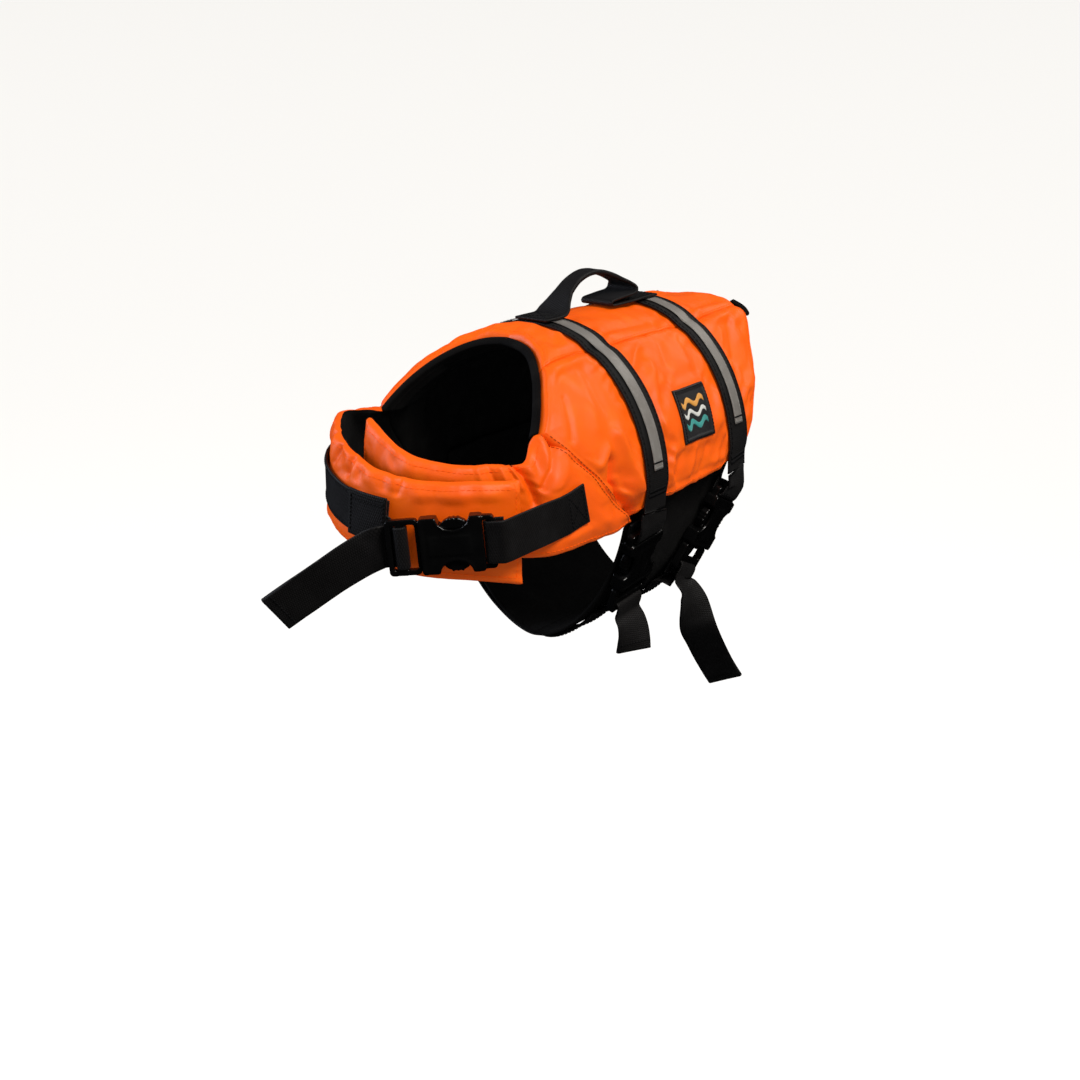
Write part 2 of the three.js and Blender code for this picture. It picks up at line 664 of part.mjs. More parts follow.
// Belly buckles on the left flank. The male half hangs below the female half.
const bellyBuckles = [
  { name: "front", bandY: bandPlaces[0], footY: -42 },
  { name: "rear", bandY: bandPlaces[1], footY: 27 },
];
const buckleTopZ = -108; // end bar under the saddle's hem
const footStep = 0.25; // degrees
const bellyBuckleLift = 0.4;
function bellyBuckleFrame({ bandY, footY }) {
  const middleY = mix(bandY, footY, 0.5);
  const topAngle = angleAtHeight(bandY, buckleTopZ);
  const top = girthPoint(bandY, topAngle, -bellyDepth);
  let footAngle = topAngle;
  let foot = top;
  while (foot.distanceTo(top) < buckle.half * 2) {
    footAngle += footStep;
    foot = girthPoint(footY, footAngle, -bellyDepth);
  }
  const middle = (topAngle + footAngle) / 2;
  const outwards = girthPoint(middleY, middle, 1).sub(girthPoint(middleY, middle, 0));
  const lift = layGap + buckle.thick / 2 + bellyBuckleLift;
  const centre = girthPoint(middleY, middle, -bellyDepth).addScaledVector(outwards, lift);
  const frame = buckleFrame(centre, top.clone().sub(foot), outwards);
  return { frame, footAngle };
}

// Webbing bands over the saddle, with a reflective tape along the middle of each
const bandGap = 0.8;
const bandStep = 4;
const bandPastHem = { left: -2, right: 9 }; // degrees
const tapeReach = { front: [-62, 73], rear: [-60, 69] };
function buildBands() {
  for (const spec of bellyBuckles) {
    const stations = [];
    const rightEnd = hemAngle(spec.bandY) + bandPastHem.right;
    const leftEnd = hemAngle(spec.bandY) + bandPastHem.left;
    const steps = Math.round((rightEnd + leftEnd) / bandStep);
    for (let i = 0; i <= steps; i += 1) {
      const angle = mix(-rightEnd, leftEnd, i / steps);
      stations.push(girthStation(saddleOuter, spec.bandY, angle, webWidth, bandGap, webThick));
    }
    const { frame } = bellyBuckleFrame(spec);
    const loop = loopStations(frame, 1);
    const last = stations[stations.length - 1];
    const bridge = { ...loop[0], at: last.at.clone().lerp(loop[0].at, 0.5) };
    const band = stripGeometry([...stations, bridge, ...loop]);
    addPiece(`${spec.name}_band`, band, colours.black, finish.webbing);
    addBuckle(`${spec.name}_buckle`, frame);

    const [from, to] = tapeReach[spec.name];
    const tape = stations.filter(({ angle }) => angle > from && angle < to).map((under) => ({
      at: under.at.clone().addScaledVector(under.normal, webThick / 2 + clothGap + tapeThick / 2),
      across: under.across,
      width: tapeWidth,
      thick: tapeThick,
    }));
    addPiece(`${spec.name}_tape`, stripGeometry(tape), colours.tape, finish.tape);
  }
}

// Belly straps: from under the band on the right flank, round the belly panel to the buckle,
// through its slot and back out as the hanging tail
const tailRows = {
  front: [
    { down: 6, x: 3, y: 0.5 },
    { down: 13, x: 4.5, y: 1 },
    { down: 20, x: 4.5, y: 1.5 },
    { down: 26, x: 4, y: 2 },
  ],
  rear: [
    { down: 7, x: 3, y: 2 },
    { down: 20, x: 5, y: 7 },
    { down: 36, x: 5, y: 13 },
    { down: 52, x: 4, y: 25 },
    { down: 68, x: 3, y: 38 },
    { down: 80, x: 2, y: 49 },
    { down: 89, x: 2, y: 57 },
  ],
};
const tailTwist = new THREE.Vector3(-0.8, -0.6, 0); // a long tail turns its face forwards
const tailTwistDrop = 50; // over which it turns
const strapStart = 2.5; // degrees above the hem, under the band's end
const strapOverlap = 8; // degrees that it runs on behind the buckle
const strapSteps = 34;
function buildBellyStraps() {
  for (const spec of bellyBuckles) {
    const { frame, footAngle } = bellyBuckleFrame(spec);
    const startAngle = 360 - hemAngle(spec.bandY) - strapStart;
    const stations = [];
    for (let i = 0; i <= strapSteps; i += 1) {
      const t = i / strapSteps;
      const angle = mix(startAngle, footAngle + strapOverlap, t);
      const y = mix(spec.bandY, spec.footY, ease(t));
      stations.push(girthStation(bellyOuter, y, angle, webWidth, bandGap, webThick));
    }
    const loop = loopStations(frame, -1).reverse();
    const tailTop = loop[loop.length - 1];
    const tail = tailRows[spec.name].map((row) => ({
      at: tailTop.at.clone().add(new THREE.Vector3(row.x, row.y, -row.down)),
      across: tailTop.across.clone().lerp(tailTwist, clamp(row.down / tailTwistDrop, 0, 1)),
      width: webWidth,
      thick: webThick,
    }));
    const strap = withFoldedEnd([...stations, ...loop, ...tail]);
    addPiece(`${spec.name}_belly_strap`, stripGeometry(strap), colours.black, finish.webbing);
  }
}

// Chest fastening: buckle on the outer flap, webbing sewn on both flaps, strap with a free tail
const chestBuckle = { x: 42, z: -88, tilt: 0.095 };
function chestFrame() {
  const { x, z, tilt } = chestBuckle;
  const turn = Math.acos(x / ringHalf);
  const outwards = new THREE.Vector3(Math.cos(turn) / ringHalf, -Math.sin(turn) / ringDepth, 0);
  outwards.normalize();
  const along = new THREE.Vector3(-outwards.y, outwards.x, tilt);
  const centre = new THREE.Vector3(x, ringY - ringDepth * Math.sin(turn), z);
  centre.addScaledVector(outwards, layGap + buckle.thick / 2 + clothGap);
  return buckleFrame(centre, along, outwards);
}
function flapStation(flapAt, end, q, z, lift, width) {
  const { at, normal } = onFlap(flapAt, end, q, z);
  const up = new THREE.Vector3(0, 0, 1);
  const across = up.addScaledVector(normal, -normal.z);
  return { at: at.addScaledVector(normal, lift), across, width, thick: webThick };
}
const leftWebRows = [
  { q: 51, z: -77 },
  { q: 55, z: -77.8 },
  { q: 59, z: -78.6 },
  { q: 63, z: -79.4 },
  { q: 67, z: -80.2 },
  { q: 71, z: -81 },
];
const rightWebRows = [
  { q: 51, z: -69 },
  { q: 84, z: -67 },
  { q: 114, z: -67.5 },
  { q: 144, z: -71.5 },
  { q: 174, z: -76 },
  { q: 194, z: -77.5 },
  { q: 208, z: -79 },
];
const rightWebSteps = 34;
const rightWebRise = 0.2;
const patchOverhang = 2;
const patchRows = [
  { q: 180, z: -76.5 },
  { q: 190, z: -77.3 },
  { q: 200, z: -78.2 },
  { q: 210, z: -79.2 },
];
// Where the strap leaves the patch, then its free tail beyond the buckle's end bar
const strapStartRows = [
  { q: 183, z: -80, rise: 0 },
  { q: 190, z: -83, rise: 0 },
  { q: 196, z: -87, rise: 1.6 },
];
const tailDrop = [
  { out: 9, drop: 2.5, back: 0 },
  { out: 19, drop: 8, back: 0.5 },
  { out: 32, drop: 17.5, back: 1 },
  { out: 44, drop: 27, back: 1 },
  { out: 56, drop: 37, back: 0.5 },
  { out: 65, drop: 44, back: 0 },
];
const tailLean = 0.5;
const tailLeanReach = 30;
function buildChestFastening() {
  const frame = chestFrame();
  addBuckle("chest_buckle", frame);
  const lift = layGap + webThick / 2;
  const left = leftWebRows.map(({ q, z }) => flapStation(leftFlapAt, leftFlapEnd, q, z, lift, webWidth));
  const leftLoop = loopStations(frame, 1);
  const last = left[left.length - 1];
  const bridge = [0.35, 0.7].map((t) => ({ ...leftLoop[0], at: last.at.clone().lerp(leftLoop[0].at, t) }));
  const leftWeb = stripGeometry([...left, ...bridge, ...leftLoop]);
  addPiece("chest_web_left", leftWeb, colours.black, finish.webbing);

  const right = [];
  const rightLift = lift + rightWebRise;
  const first = rightWebRows[0].q;
  const end = rightWebRows[rightWebRows.length - 1].q;
  for (let i = 0; i <= rightWebSteps; i += 1) {
    const q = mix(first, end, i / rightWebSteps);
    const z = lookup(rightWebRows, "q", q, "z");
    right.push(flapStation(rightFlapAt, rightFlapEnd, q, z, rightLift, webWidth));
  }
  addPiece("chest_web_right", stripGeometry(right), colours.black, finish.webbing);
  const patchLift = rightLift + webThick + stackGap;
  const patch = patchRows.map(({ q, z }) => (
    flapStation(rightFlapAt, rightFlapEnd, q, z, patchLift, webWidth + patchOverhang)
  ));
  addPiece("chest_patch", stripGeometry(patch), colours.black, finish.webbing);

  const strapLift = patchLift + webThick + stackGap;
  const fromPatch = strapStartRows.map(({ q, z, rise }) => (
    flapStation(rightFlapAt, rightFlapEnd, q, z, strapLift + rise, webWidth)
  ));
  const loop = loopStations(frame, -1).reverse();
  const barEnd = loop[loop.length - 1];
  const outwards = new THREE.Vector3(-1, 0, 0).transformDirection(frame);
  outwards.z = 0;
  outwards.normalize();
  const sideways = new THREE.Vector3(-outwards.y, outwards.x, 0);
  const tail = tailDrop.map(({ out, drop, back }) => {
    const at = barEnd.at.clone().addScaledVector(outwards, out).addScaledVector(sideways, back);
    at.z -= drop;
    const lean = tailLean * clamp(out / tailLeanReach, 0, 1);
    const across = new THREE.Vector3(0, 0, 1).addScaledVector(sideways, lean);
    return { at, across, width: webWidth, thick: webThick };
  });
  const strap = withFoldedEnd([...fromPatch, ...loop, ...tail]);
  addPiece("chest_strap", stripGeometry(strap), colours.black, finish.webbing);
}

// Grab handle along the spine: flat feet, the grip folded to half width, slack folded forward
const handleRows = [
  { y: -66, z: 14.3, width: 25, thick: 1.6 },
  { y: -52, z: 14.3, width: 25, thick: 1.6 },
  { y: -45, z: 14.8, width: 25, thick: 1.6 },
  { y: -41, z: 17.5, width: 24, thick: 1.8 },
  { y: -37, z: 21.5, width: 19, thick: 2.4 },
  { y: -31, z: 27, width: 14, thick: 3.2 },
  { y: -21, z: 33, width: 12.5, thick: 3.4 },
  { y: -9, z: 36, width: 12.5, thick: 3.4 },
  { y: 3, z: 35.4, width: 12.5, thick: 3.4 },
  { y: 15, z: 32.2, width: 12.5, thick: 3.4 },
  { y: 26, z: 27.8, width: 14, thick: 3.2 },
  { y: 32, z: 25, width: 19, thick: 2.4 },
  { y: 35, z: 22.6, width: 24, thick: 1.8 },
  { y: 35, z: 20.2, width: 25, thick: 1.6 },
  { y: 32, z: 18.7, width: 25, thick: 1.6 },
  { y: 23, z: 18, width: 25, thick: 1.6 },
  { y: 11, z: 17.2, width: 25, thick: 1.6 },
  { y: 6.5, z: 16.6, width: 25, thick: 1.6 },
  { y: 5.2, z: 15.2, width: 25, thick: 1.6 },
  { y: 6.6, z: 13.9, width: 25, thick: 1.6 },
  { y: 11, z: 13.6, width: 25, thick: 1.6 },
  { y: 28, z: 13.6, width: 25, thick: 1.6 },
  { y: 39, z: 13.9, width: 25, thick: 1.6 },
  { y: 48, z: 14.3, width: 25, thick: 1.6 },
  { y: 58, z: 14.3, width: 25, thick: 1.6 },
];
function buildHandle() {
  const stations = handleRows.map(({ y, z, width, thick }) => ({
    at: new THREE.Vector3(0, y, z),
    across: new THREE.Vector3(1, 0, 0),
    width,
    thick,
  }));
  addPiece("handle", stripGeometry(stations), colours.black, finish.webbing);
}

// Lining that shows at the neck edge: a roll ahead of the foam's edge, turned in behind it
const liningRows = [
  { ahead: 6.5, rise: -6.4, thick: 2.4 },
  { ahead: 5, rise: -5, thick: 4.6 },
  { ahead: 2.6, rise: -4.7, thick: 5.6 },
  { ahead: 1, rise: -6.4, thick: 5 },
  { ahead: 0.6, rise: -9.4, thick: 2 },
  { ahead: -7, behind: 1.6, thick: 1.4 },
  { ahead: -17, behind: 1, thick: 1.4 },
  { ahead: -27, behind: 1, thick: 1.2 },
];
const liningReach = 54; // degrees either side of the spine
const liningRound = 20;
function buildLining() {
  const at = (depth) => (u, v) => {
    const row = liningRows[Math.round(v * (liningRows.length - 1))];
    const angle = mix(-liningReach, liningReach, u);
    const y = frontEdge(angle) - row.ahead;
    const outer = row.behind ? saddleInner(y, angle) - row.behind : row.rise;
    return girthPoint(y, angle, outer - depth * row.thick);
  };
  const wall = wallGeometry(liningRound, liningRows.length - 1, at(0), at(1));
  addPiece("neck_lining", wall, colours.lining, finish.lining);
}

// Lining corners that show beyond the rear edge at the end of each lengthwise seam
const rearCorner = { from: 25, to: 38, reach: 4, outer: -4.6, inner: -8, fall: 2, grid: 5 };
function buildRearCorners() {
  const { from, to, reach, outer, inner, fall, grid } = rearCorner;
  for (const [name, side] of [["rear_lining_left", 1], ["rear_lining_right", -1]]) {
    const at = (offset) => (u, v) => {
      const angle = side * mix(from, to, u);
      return girthPoint(rearEdge(angle) + mix(clothGap, reach, v), angle, offset - fall * v);
    };
    addPiece(name, wallGeometry(grid, 1, at(outer), at(inner)), colours.lining, finish.lining);
  }
}

// Label on the left side chamber: along Y, and in degrees round the girth
const label = { front: -18.5, rear: 18, top: 57, bottom: 78, thick: 1, grid: 7 };
function buildLabel() {
  const at = (offset) => (u, v) => {
    const y = mix(label.front, label.rear, u);
    const angle = mix(label.top, label.bottom, v);
    return girthPoint(y, angle, saddleOuter(y, angle) + layGap + offset);
  };
  const wall = wallGeometry(label.grid, label.grid, at(label.thick), at(0));
  addPiece("label_patch", wall, colours.label, finish.label);
}

buildSaddle();
buildFlaps();
buildLining();
buildRearCorners();
buildBelly();
buildBands();
buildBellyStraps();
buildChestFastening();
buildHandle();
buildLabel();

export default jacket;
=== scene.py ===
import math

import bpy
import numpy as np
from mathutils import Matrix, Vector


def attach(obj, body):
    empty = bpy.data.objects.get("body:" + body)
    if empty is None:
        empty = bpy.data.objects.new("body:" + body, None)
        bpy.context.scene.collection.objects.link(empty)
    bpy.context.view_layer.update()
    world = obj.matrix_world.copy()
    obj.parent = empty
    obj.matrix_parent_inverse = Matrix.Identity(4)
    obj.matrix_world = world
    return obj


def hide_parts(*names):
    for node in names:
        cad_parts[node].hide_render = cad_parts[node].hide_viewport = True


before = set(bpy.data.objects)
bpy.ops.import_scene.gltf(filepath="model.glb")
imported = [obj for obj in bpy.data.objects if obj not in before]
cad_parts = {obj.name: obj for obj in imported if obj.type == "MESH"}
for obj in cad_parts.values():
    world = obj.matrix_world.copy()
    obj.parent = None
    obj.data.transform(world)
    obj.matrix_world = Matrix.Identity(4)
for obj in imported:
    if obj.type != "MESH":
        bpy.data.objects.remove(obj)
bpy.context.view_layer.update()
mm = 0.001  # every size below is in millimetres
print("frame loaded:", len(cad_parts), "nodes")


camera = {
    "place": (669.5, -954.2, 216.0), "turn": 36.72, "dip": 17.26,
    "focalPixels": 1804.94, "framePixels": 1080, "sensor": 36, "clip": (0.01, 2000),
}
stageLook = {
    "floorHeight": -0.85, "floorReach": 400.0, "floorColour": (0.93, 0.93, 0.93, 1), "floorRough": 0.9,
    "world": (0.97, 0.985, 1.0, 1), "worldStrength": 0.38, "backdropStrength": 0.97, "aim": (0, -0.05, -0.08),
    "sun": (0.618, -0.075, 0.80), "sunStrength": 2.9, "sunAngle": 24, "sunColour": (1.0, 0.965, 0.91),
}
lamps = [
    {"name": "leftFill", "place": (-1.4, -1.0, 0.5), "size": 0.9, "power": 20, "colour": (0.80, 0.86, 1.0)},
    {"name": "rearRim", "place": (0.3, 1.3, 1.0), "size": 0.6, "power": 4, "colour": (1.0, 0.98, 0.95)},
]


def linked(name, data):
    made = bpy.data.objects.new(name, data)
    bpy.context.scene.collection.objects.link(made)
    return made


def makeCamera():
    turn, dip = math.radians(camera["turn"]), math.radians(camera["dip"])
    forward = Vector((-math.sin(turn) * math.cos(dip), math.cos(turn) * math.cos(dip), -math.sin(dip)))
    right = Vector((math.cos(turn), math.sin(turn), 0))
    data = bpy.data.cameras.new("photoView")
    data.sensor_width = camera["sensor"]
    data.lens = camera["focalPixels"] / camera["framePixels"] * camera["sensor"]
    data.clip_start, data.clip_end = camera["clip"]
    view = linked("photoView", data)
    axes = (right, right.cross(forward), -forward, Vector(camera["place"]) * mm)
    view.matrix_world = Matrix([[axis[k] for axis in axes] for k in range(3)] + [[0, 0, 0, 1]])
    bpy.context.scene.camera = view


def addLight(name, kind, power, colour, place, aim):
    data = bpy.data.lights.new(name, kind)
    data.energy, data.color = power, colour
    light = linked(name, data)
    light.location = place
    light.rotation_euler = (Vector(aim) - Vector(place)).to_track_quat("-Z", "Y").to_euler()
    return data


def makeLights():
    for lamp in lamps:
        data = addLight(lamp["name"], "AREA", lamp["power"], lamp["colour"], lamp["place"], stageLook["aim"])
        data.shape, data.size = "DISK", lamp["size"]
    away = [-part for part in stageLook["sun"]]
    sun = addLight("keySun", "SUN", stageLook["sunStrength"], stageLook["sunColour"], (0, 0, 0), away)
    sun.angle = math.radians(stageLook["sunAngle"])


def makeWorld():
    world = bpy.data.worlds.new("studio")
    world.use_nodes = True
    tree = world.node_tree
    sky, screen = tree.nodes["Background"], tree.nodes.new("ShaderNodeBackground")
    for node, strength in ((sky, "worldStrength"), (screen, "backdropStrength")):
        node.inputs["Color"].default_value = stageLook["world"]
        node.inputs["Strength"].default_value = stageLook[strength]
    either, ray = tree.nodes.new("ShaderNodeMixShader"), tree.nodes.new("ShaderNodeLightPath")
    for k, socket in enumerate((ray.outputs["Is Camera Ray"], sky.outputs[0], screen.outputs[0])):
        tree.links.new(socket, either.inputs[k])
    tree.links.new(either.outputs[0], tree.nodes["World Output"].inputs["Surface"])
    bpy.context.scene.world = world
    world.cycles_visibility.glossy = False  # only the lamps shine on the black pieces


def makeFloor():
    low, reach = stageLook["floorHeight"], stageLook["floorReach"]
    corners = [(-reach, -reach, low), (reach, -reach, low), (reach, reach, low), (-reach, reach, low)]
    mesh = bpy.data.meshes.new("floor")
    mesh.from_pydata(corners, [], [(0, 1, 2, 3)])
    floor = linked("floor", mesh)
    paint = bpy.data.materials.new("palePaper")
    paint.use_nodes = True
    shader = paint.node_tree.nodes["Principled BSDF"]
    shader.inputs["Base Color"].default_value = stageLook["floorColour"]
    shader.inputs["Roughness"].default_value = stageLook["floorRough"]
    mesh.materials.append(paint)
    floor.visible_diffuse = floor.visible_glossy = False  # the worn jacket gets little light from below


makeCamera()
makeLights()
makeWorld()
makeFloor()
bpy.context.scene.view_settings.view_transform = "Standard"  # keeps the fluorescent orange
print("camera and stage ready")


def lookup(keys, values, at):
    k, v = np.asarray(keys, float), np.asarray(values, float)
    slope = np.empty(len(k))
    slope[1:-1] = (v[2:] - v[:-2]) / (k[2:] - k[:-2])
    slope[0], slope[-1] = (v[1] - v[0]) / (k[1] - k[0]), (v[-1] - v[-2]) / (k[-1] - k[-2])
    x = np.clip(at, k[0], k[-1])
    i = np.clip(np.searchsorted(k, x, side="left") - 1, 0, len(k) - 2)
    span = k[i + 1] - k[i]
    t = (x - k[i]) / span
    up = t * t * (3 - 2 * t)
    turn = slope[i] * t * (1 - t) ** 2 - slope[i + 1] * t * t * (1 - t)
    return v[i] + (v[i + 1] - v[i]) * up + span * turn


def mix(a, b, t):
    return a + (b - a) * t


def ease(t):
    return t * t * (3 - 2 * t)


def unit(vectors):
    return vectors / np.maximum(np.linalg.norm(vectors, axis=-1, keepdims=True), 1e-9)


def unitGrid(m, n):
    return np.meshgrid(np.linspace(0, 1, m), np.linspace(0, 1, n), indexing="ij")


def runLength(points):
    return np.concatenate([[0], np.cumsum(np.linalg.norm(np.diff(points, axis=0), axis=1))])


def readAt(at, keys, field):
    return np.stack([np.interp(at, keys, field[:, k]) for k in range(3)], -1)


def eased(t):  # nothing below zero, one above one
    return ease(np.clip(t, 0, 1))


def fade(distance, reach):  # from one at the edge to nothing
    return 1 - eased(distance / reach)


def padRise(distance, width):
    t = np.clip(distance / width, 0, 1)
    return np.sqrt(np.maximum(1 - (1 - t) ** 2, 0))


def waver(u, v, seed):  # smooth lattice noise, -1 to 1
    u, v = np.broadcast_arrays(np.asarray(u, float), np.asarray(v, float))
    iu, iv = np.floor(u), np.floor(v)
    su, sv = ease(u - iu), ease(v - iv)

    def corner(a, b):
        h = np.sin((iu + a) * 127.1 + (iv + b) * 311.7 + seed * 74.7) * 43758.5453
        return (h - np.floor(h)) * 2 - 1

    low = mix(corner(0, 0), corner(1, 0), su)
    high = mix(corner(0, 1), corner(1, 1), su)
    return mix(low, high, sv)


girth = {
    "y": [-165, -140, -112, -84, -52, 0, 52, 88, 118, 140],
    "half": [70, 78.5, 84, 87, 87.5, 86, 83, 80, 77, 75],
    "crown": [-6, 2, 9, 12, 12, 12, 12, 12.5, 13, 13],
    "belly": [-196, -205, -210, -212, -212, -211, -209, -204, -198, -192],
}
waistZ, keel = -83, 1.18
neck = {"angle": [0, 15, 29, 40, 48, 55], "y": [-88, -93, -107, -120, -129, -137]}
shoulder = {
    "z": [-34, -44, -57, -66, -75, -86, -102], "y": [-137, -129, -117, -108, -101, -90, -72],
}
rear = {"angle": [0, 30, 43, 52, 64, 71, 82, 93], "y": [124, 121, 113, 105, 94, 87, 76, 66]}
hem = {"y": [-72, -50, 0, 42, 64], "z": [-98, -94.5, -92, -89.5, -87]}
pad = {
    "gap": 0.3, "layGap": 0.6, "stackGap": 0.3, "foam": 12, "foamEdge": 4.5, "channel": 29,
    "valley": 1.8, "channelWidth": 12, "channelFill": 0.25, "edgeDrop": 3.6, "edgeWidth": 15,
    "bandDip": 2.2, "bandDipReach": 18, "perDegree": 1.53,
}
bandPlaces = [-52.5, 52.5]


def girthPoint(y, angle, offset):
    y, angle, offset = np.broadcast_arrays(*(np.asarray(x, float) for x in (y, angle, offset)))
    half, crown, belly = (lookup(girth["y"], girth[k], y) for k in ("half", "crown", "belly"))

    def place(a):
        s, c = np.sin(np.radians(a)), np.cos(np.radians(a))
        x = half * np.where(c < 0, np.sign(s) * np.abs(s) ** keel, s)
        return x, waistZ + np.where(c < 0, waistZ - belly, crown - waistZ) * c

    x1, z1 = place(angle + 0.5)
    x0, z0 = place(angle - 0.5)
    nx, nz = -(z1 - z0), x1 - x0
    size = np.hypot(nx, nz)
    x, z = place(angle)
    return np.stack([x + nx / size * offset, y, z + nz / size * offset], -1)


def angleAtHeight(y, z):
    crown, belly = lookup(girth["y"], girth["crown"], y), lookup(girth["y"], girth["belly"], y)
    reach = np.where(z > waistZ, crown - waistZ, waistZ - belly)
    return np.degrees(np.arccos(np.clip((z - waistZ) / reach, -1, 1)))


shoulderDepth = [-z for z in shoulder["z"]]
shoulderAngle = [float(angleAtHeight(y, z)) for y, z in zip(shoulder["y"], shoulder["z"])]


def shoulderY(z):
    return lookup(shoulderDepth, shoulder["y"], -z)


def frontEdge(angle):
    a = np.abs(angle)
    return np.where(
        a <= neck["angle"][-1], lookup(neck["angle"], neck["y"], a), lookup(shoulderAngle, shoulder["y"], a))


def rearEdge(angle):
    return lookup(rear["angle"], rear["y"], np.abs(angle))


def hemAngle(y):
    return angleAtHeight(y, lookup(hem["y"], hem["z"], y))


# side, y, angle, half length, half width, lean, rise
folds = [
    (1, -20, 55, 30, 7, -8, 1.6), (1, -4, 68, 26, 6, 10, -1.4), (1, 12, 52, 30, 8, 6, 1.5),
    (1, 32, 66, 30, 6, -6, 1.2), (1, -84, 66, 30, 7, 24, 2.6), (1, -92, 52, 26, 6, 12, -1.8),
    (1, -76, 86, 16, 5, -16, 2.4), (1, 84, 48, 24, 8, -20, -1.6), (-1, -24, 58, 30, 7, 8, 1.5),
    (-1, 2, 64, 28, 7, -7, -1.3), (-1, 24, 55, 30, 8, 9, 1.6), (-1, -86, 64, 30, 7, 20, 2.4),
    (-1, -96, 50, 24, 6, 10, -1.6), (-1, 82, 50, 22, 8, -18, -1.5),
]


def foldRise(y, angle):
    rise = 0
    for side, atY, atAngle, long, wide, lean, height in folds:
        down = (np.abs(angle) - atAngle) * pad["perDegree"]
        across = y - atY - down * math.tan(math.radians(lean))
        bump = height * np.exp(-((down / long) ** 2) - (across / wide) ** 2)
        rise = rise + np.where(np.sign(angle) == side, bump, 0)
    return rise


def edgeRise(y, angle):
    a, wide = np.abs(angle), pad["edgeWidth"]
    front, back = padRise(y - frontEdge(a), wide), padRise(rearEdge(a) - y, wide)
    return front * back * padRise((hemAngle(y) - a) * pad["perDegree"], wide)


def channelRise(angle):
    return padRise(np.abs(np.abs(angle) - pad["channel"]) * pad["perDegree"], pad["channelWidth"])


def saddleOuter(y, angle):
    valley = pad["valley"] * (1 - channelRise(angle))
    drop = pad["edgeDrop"] * (1 - edgeRise(y, angle))
    dip = sum(pad["bandDip"] * np.exp(-(((y - b) / pad["bandDipReach"]) ** 6)) for b in bandPlaces)
    return foldRise(y, angle) - valley - drop - dip


def saddleInner(y, angle):
    full = edgeRise(y, angle) * mix(pad["channelFill"], 1, channelRise(angle))
    return saddleOuter(y, angle) - mix(pad["foamEdge"], pad["foam"], full)


materials = {}


def addPiece(name, points, faces, finish, replaces, lay, hidden=None):
    mesh = bpy.data.meshes.new(name)
    points = np.asarray(points, np.float64).reshape(-1, 3) * mm
    faces = np.asarray(faces, np.int32)
    mesh.vertices.add(len(points))
    mesh.vertices.foreach_set("co", points.astype(np.float32).ravel())
    mesh.loops.add(faces.size)
    mesh.loops.foreach_set("vertex_index", faces.ravel())
    mesh.polygons.add(len(faces))
    mesh.polygons.foreach_set("loop_start", np.arange(0, faces.size, faces.shape[1], dtype=np.int32))
    mesh.update(calc_edges=True)
    layer = mesh.attributes.new("lay", "FLOAT_VECTOR", "POINT")
    layer.data.foreach_set("vector", np.asarray(lay, np.float32).ravel())
    mesh.polygons.foreach_set("use_smooth", [True] * len(faces))
    piece = linked(name, mesh)
    mesh.materials.append(materials[finish])
    if hidden is not None:  # these faces turn to the body and carry the lining
        mesh.materials.append(materials["blackLining"])
        mesh.polygons.foreach_set("material_index", hidden.astype(np.int32))
    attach(piece, "root")
    if replaces:
        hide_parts(*replaces)
    return piece


def gridFaces(m, n, start=0):
    i, j = np.meshgrid(np.arange(m - 1), np.arange(n - 1), indexing="ij")
    a = (start + i * n + j).ravel()
    return np.stack([a, a + n, a + n + 1, a + 1], -1)


def gridNormals(points):
    du, dv = np.gradient(points, axis=0), np.gradient(points, axis=1)
    return unit(np.cross(du, dv))


def turnedOut(points, faces, middle):
    v0, v1, v2 = (points[faces[:, k]] - middle for k in range(3))
    return faces[:, ::-1] if np.einsum("ij,ij->", v0, np.cross(v1, v2)) < 0 else faces


def wall(outer, inner, bulge, reach, rimRows):
    m, n = outer.shape[:2]
    loop = ([(i, 0) for i in range(m)] + [(m - 1, j) for j in range(1, n)]
            + [(i, n - 1) for i in range(m - 2, -1, -1)] + [(0, j) for j in range(n - 2, 0, -1)])
    li, lj = np.array(loop).T
    out = unit(outer[li, lj] - outer[np.clip(li, 1, m - 2), np.clip(lj, 1, n - 2)])
    swell = np.zeros(len(loop))
    for cells, height in zip((li == 0, li == m - 1, lj == 0, lj == n - 1), bulge):
        swell = np.where(cells, height, swell)
    rings = []
    for k in range(1, rimRows):
        t = k / rimRows
        rings.append(mix(outer[li, lj], inner[li, lj], t) + out * (swell * math.sin(math.pi * t))[:, None])
    points = np.concatenate([outer.reshape(-1, 3), inner.reshape(-1, 3)] + rings)
    size = m * n
    rows = [li * n + lj] + [2 * size + k * len(loop) + np.arange(len(loop)) for k in range(rimRows - 1)]
    rows.append(size + li * n + lj)
    faces = [gridFaces(m, n), gridFaces(m, n, size)[:, ::-1]]
    for a, b in zip(rows[:-1], rows[1:]):
        faces.append(np.stack([a, b, np.roll(b, -1), np.roll(a, -1)], -1))
    faces = turnedOut(points, np.concatenate(faces), 0)
    u, v = unitGrid(m, n)
    lay = np.stack([u * reach[0], v * reach[1], 0 * u], -1).reshape(-1, 3)
    lay = np.concatenate([lay, lay] + [lay[li * n + lj]] * (rimRows - 1))
    cells = (m - 1) * (n - 1)
    order = np.arange(len(faces))  # outer faces, inner faces, then the rim row by row
    hidden = ((order >= cells) & (order < 2 * cells)) | (order >= 2 * cells + (rimRows - 1) * len(loop))
    return points, faces, lay, hidden


def wallPiece(name, outer, inner, bulge, reach, finish, replaces, lined=False, rimRows=4):
    points, faces, lay, hidden = wall(outer, inner, bulge, reach, rimRows)
    return addPiece(name, points, faces, finish, replaces, lay, hidden if lined else None)


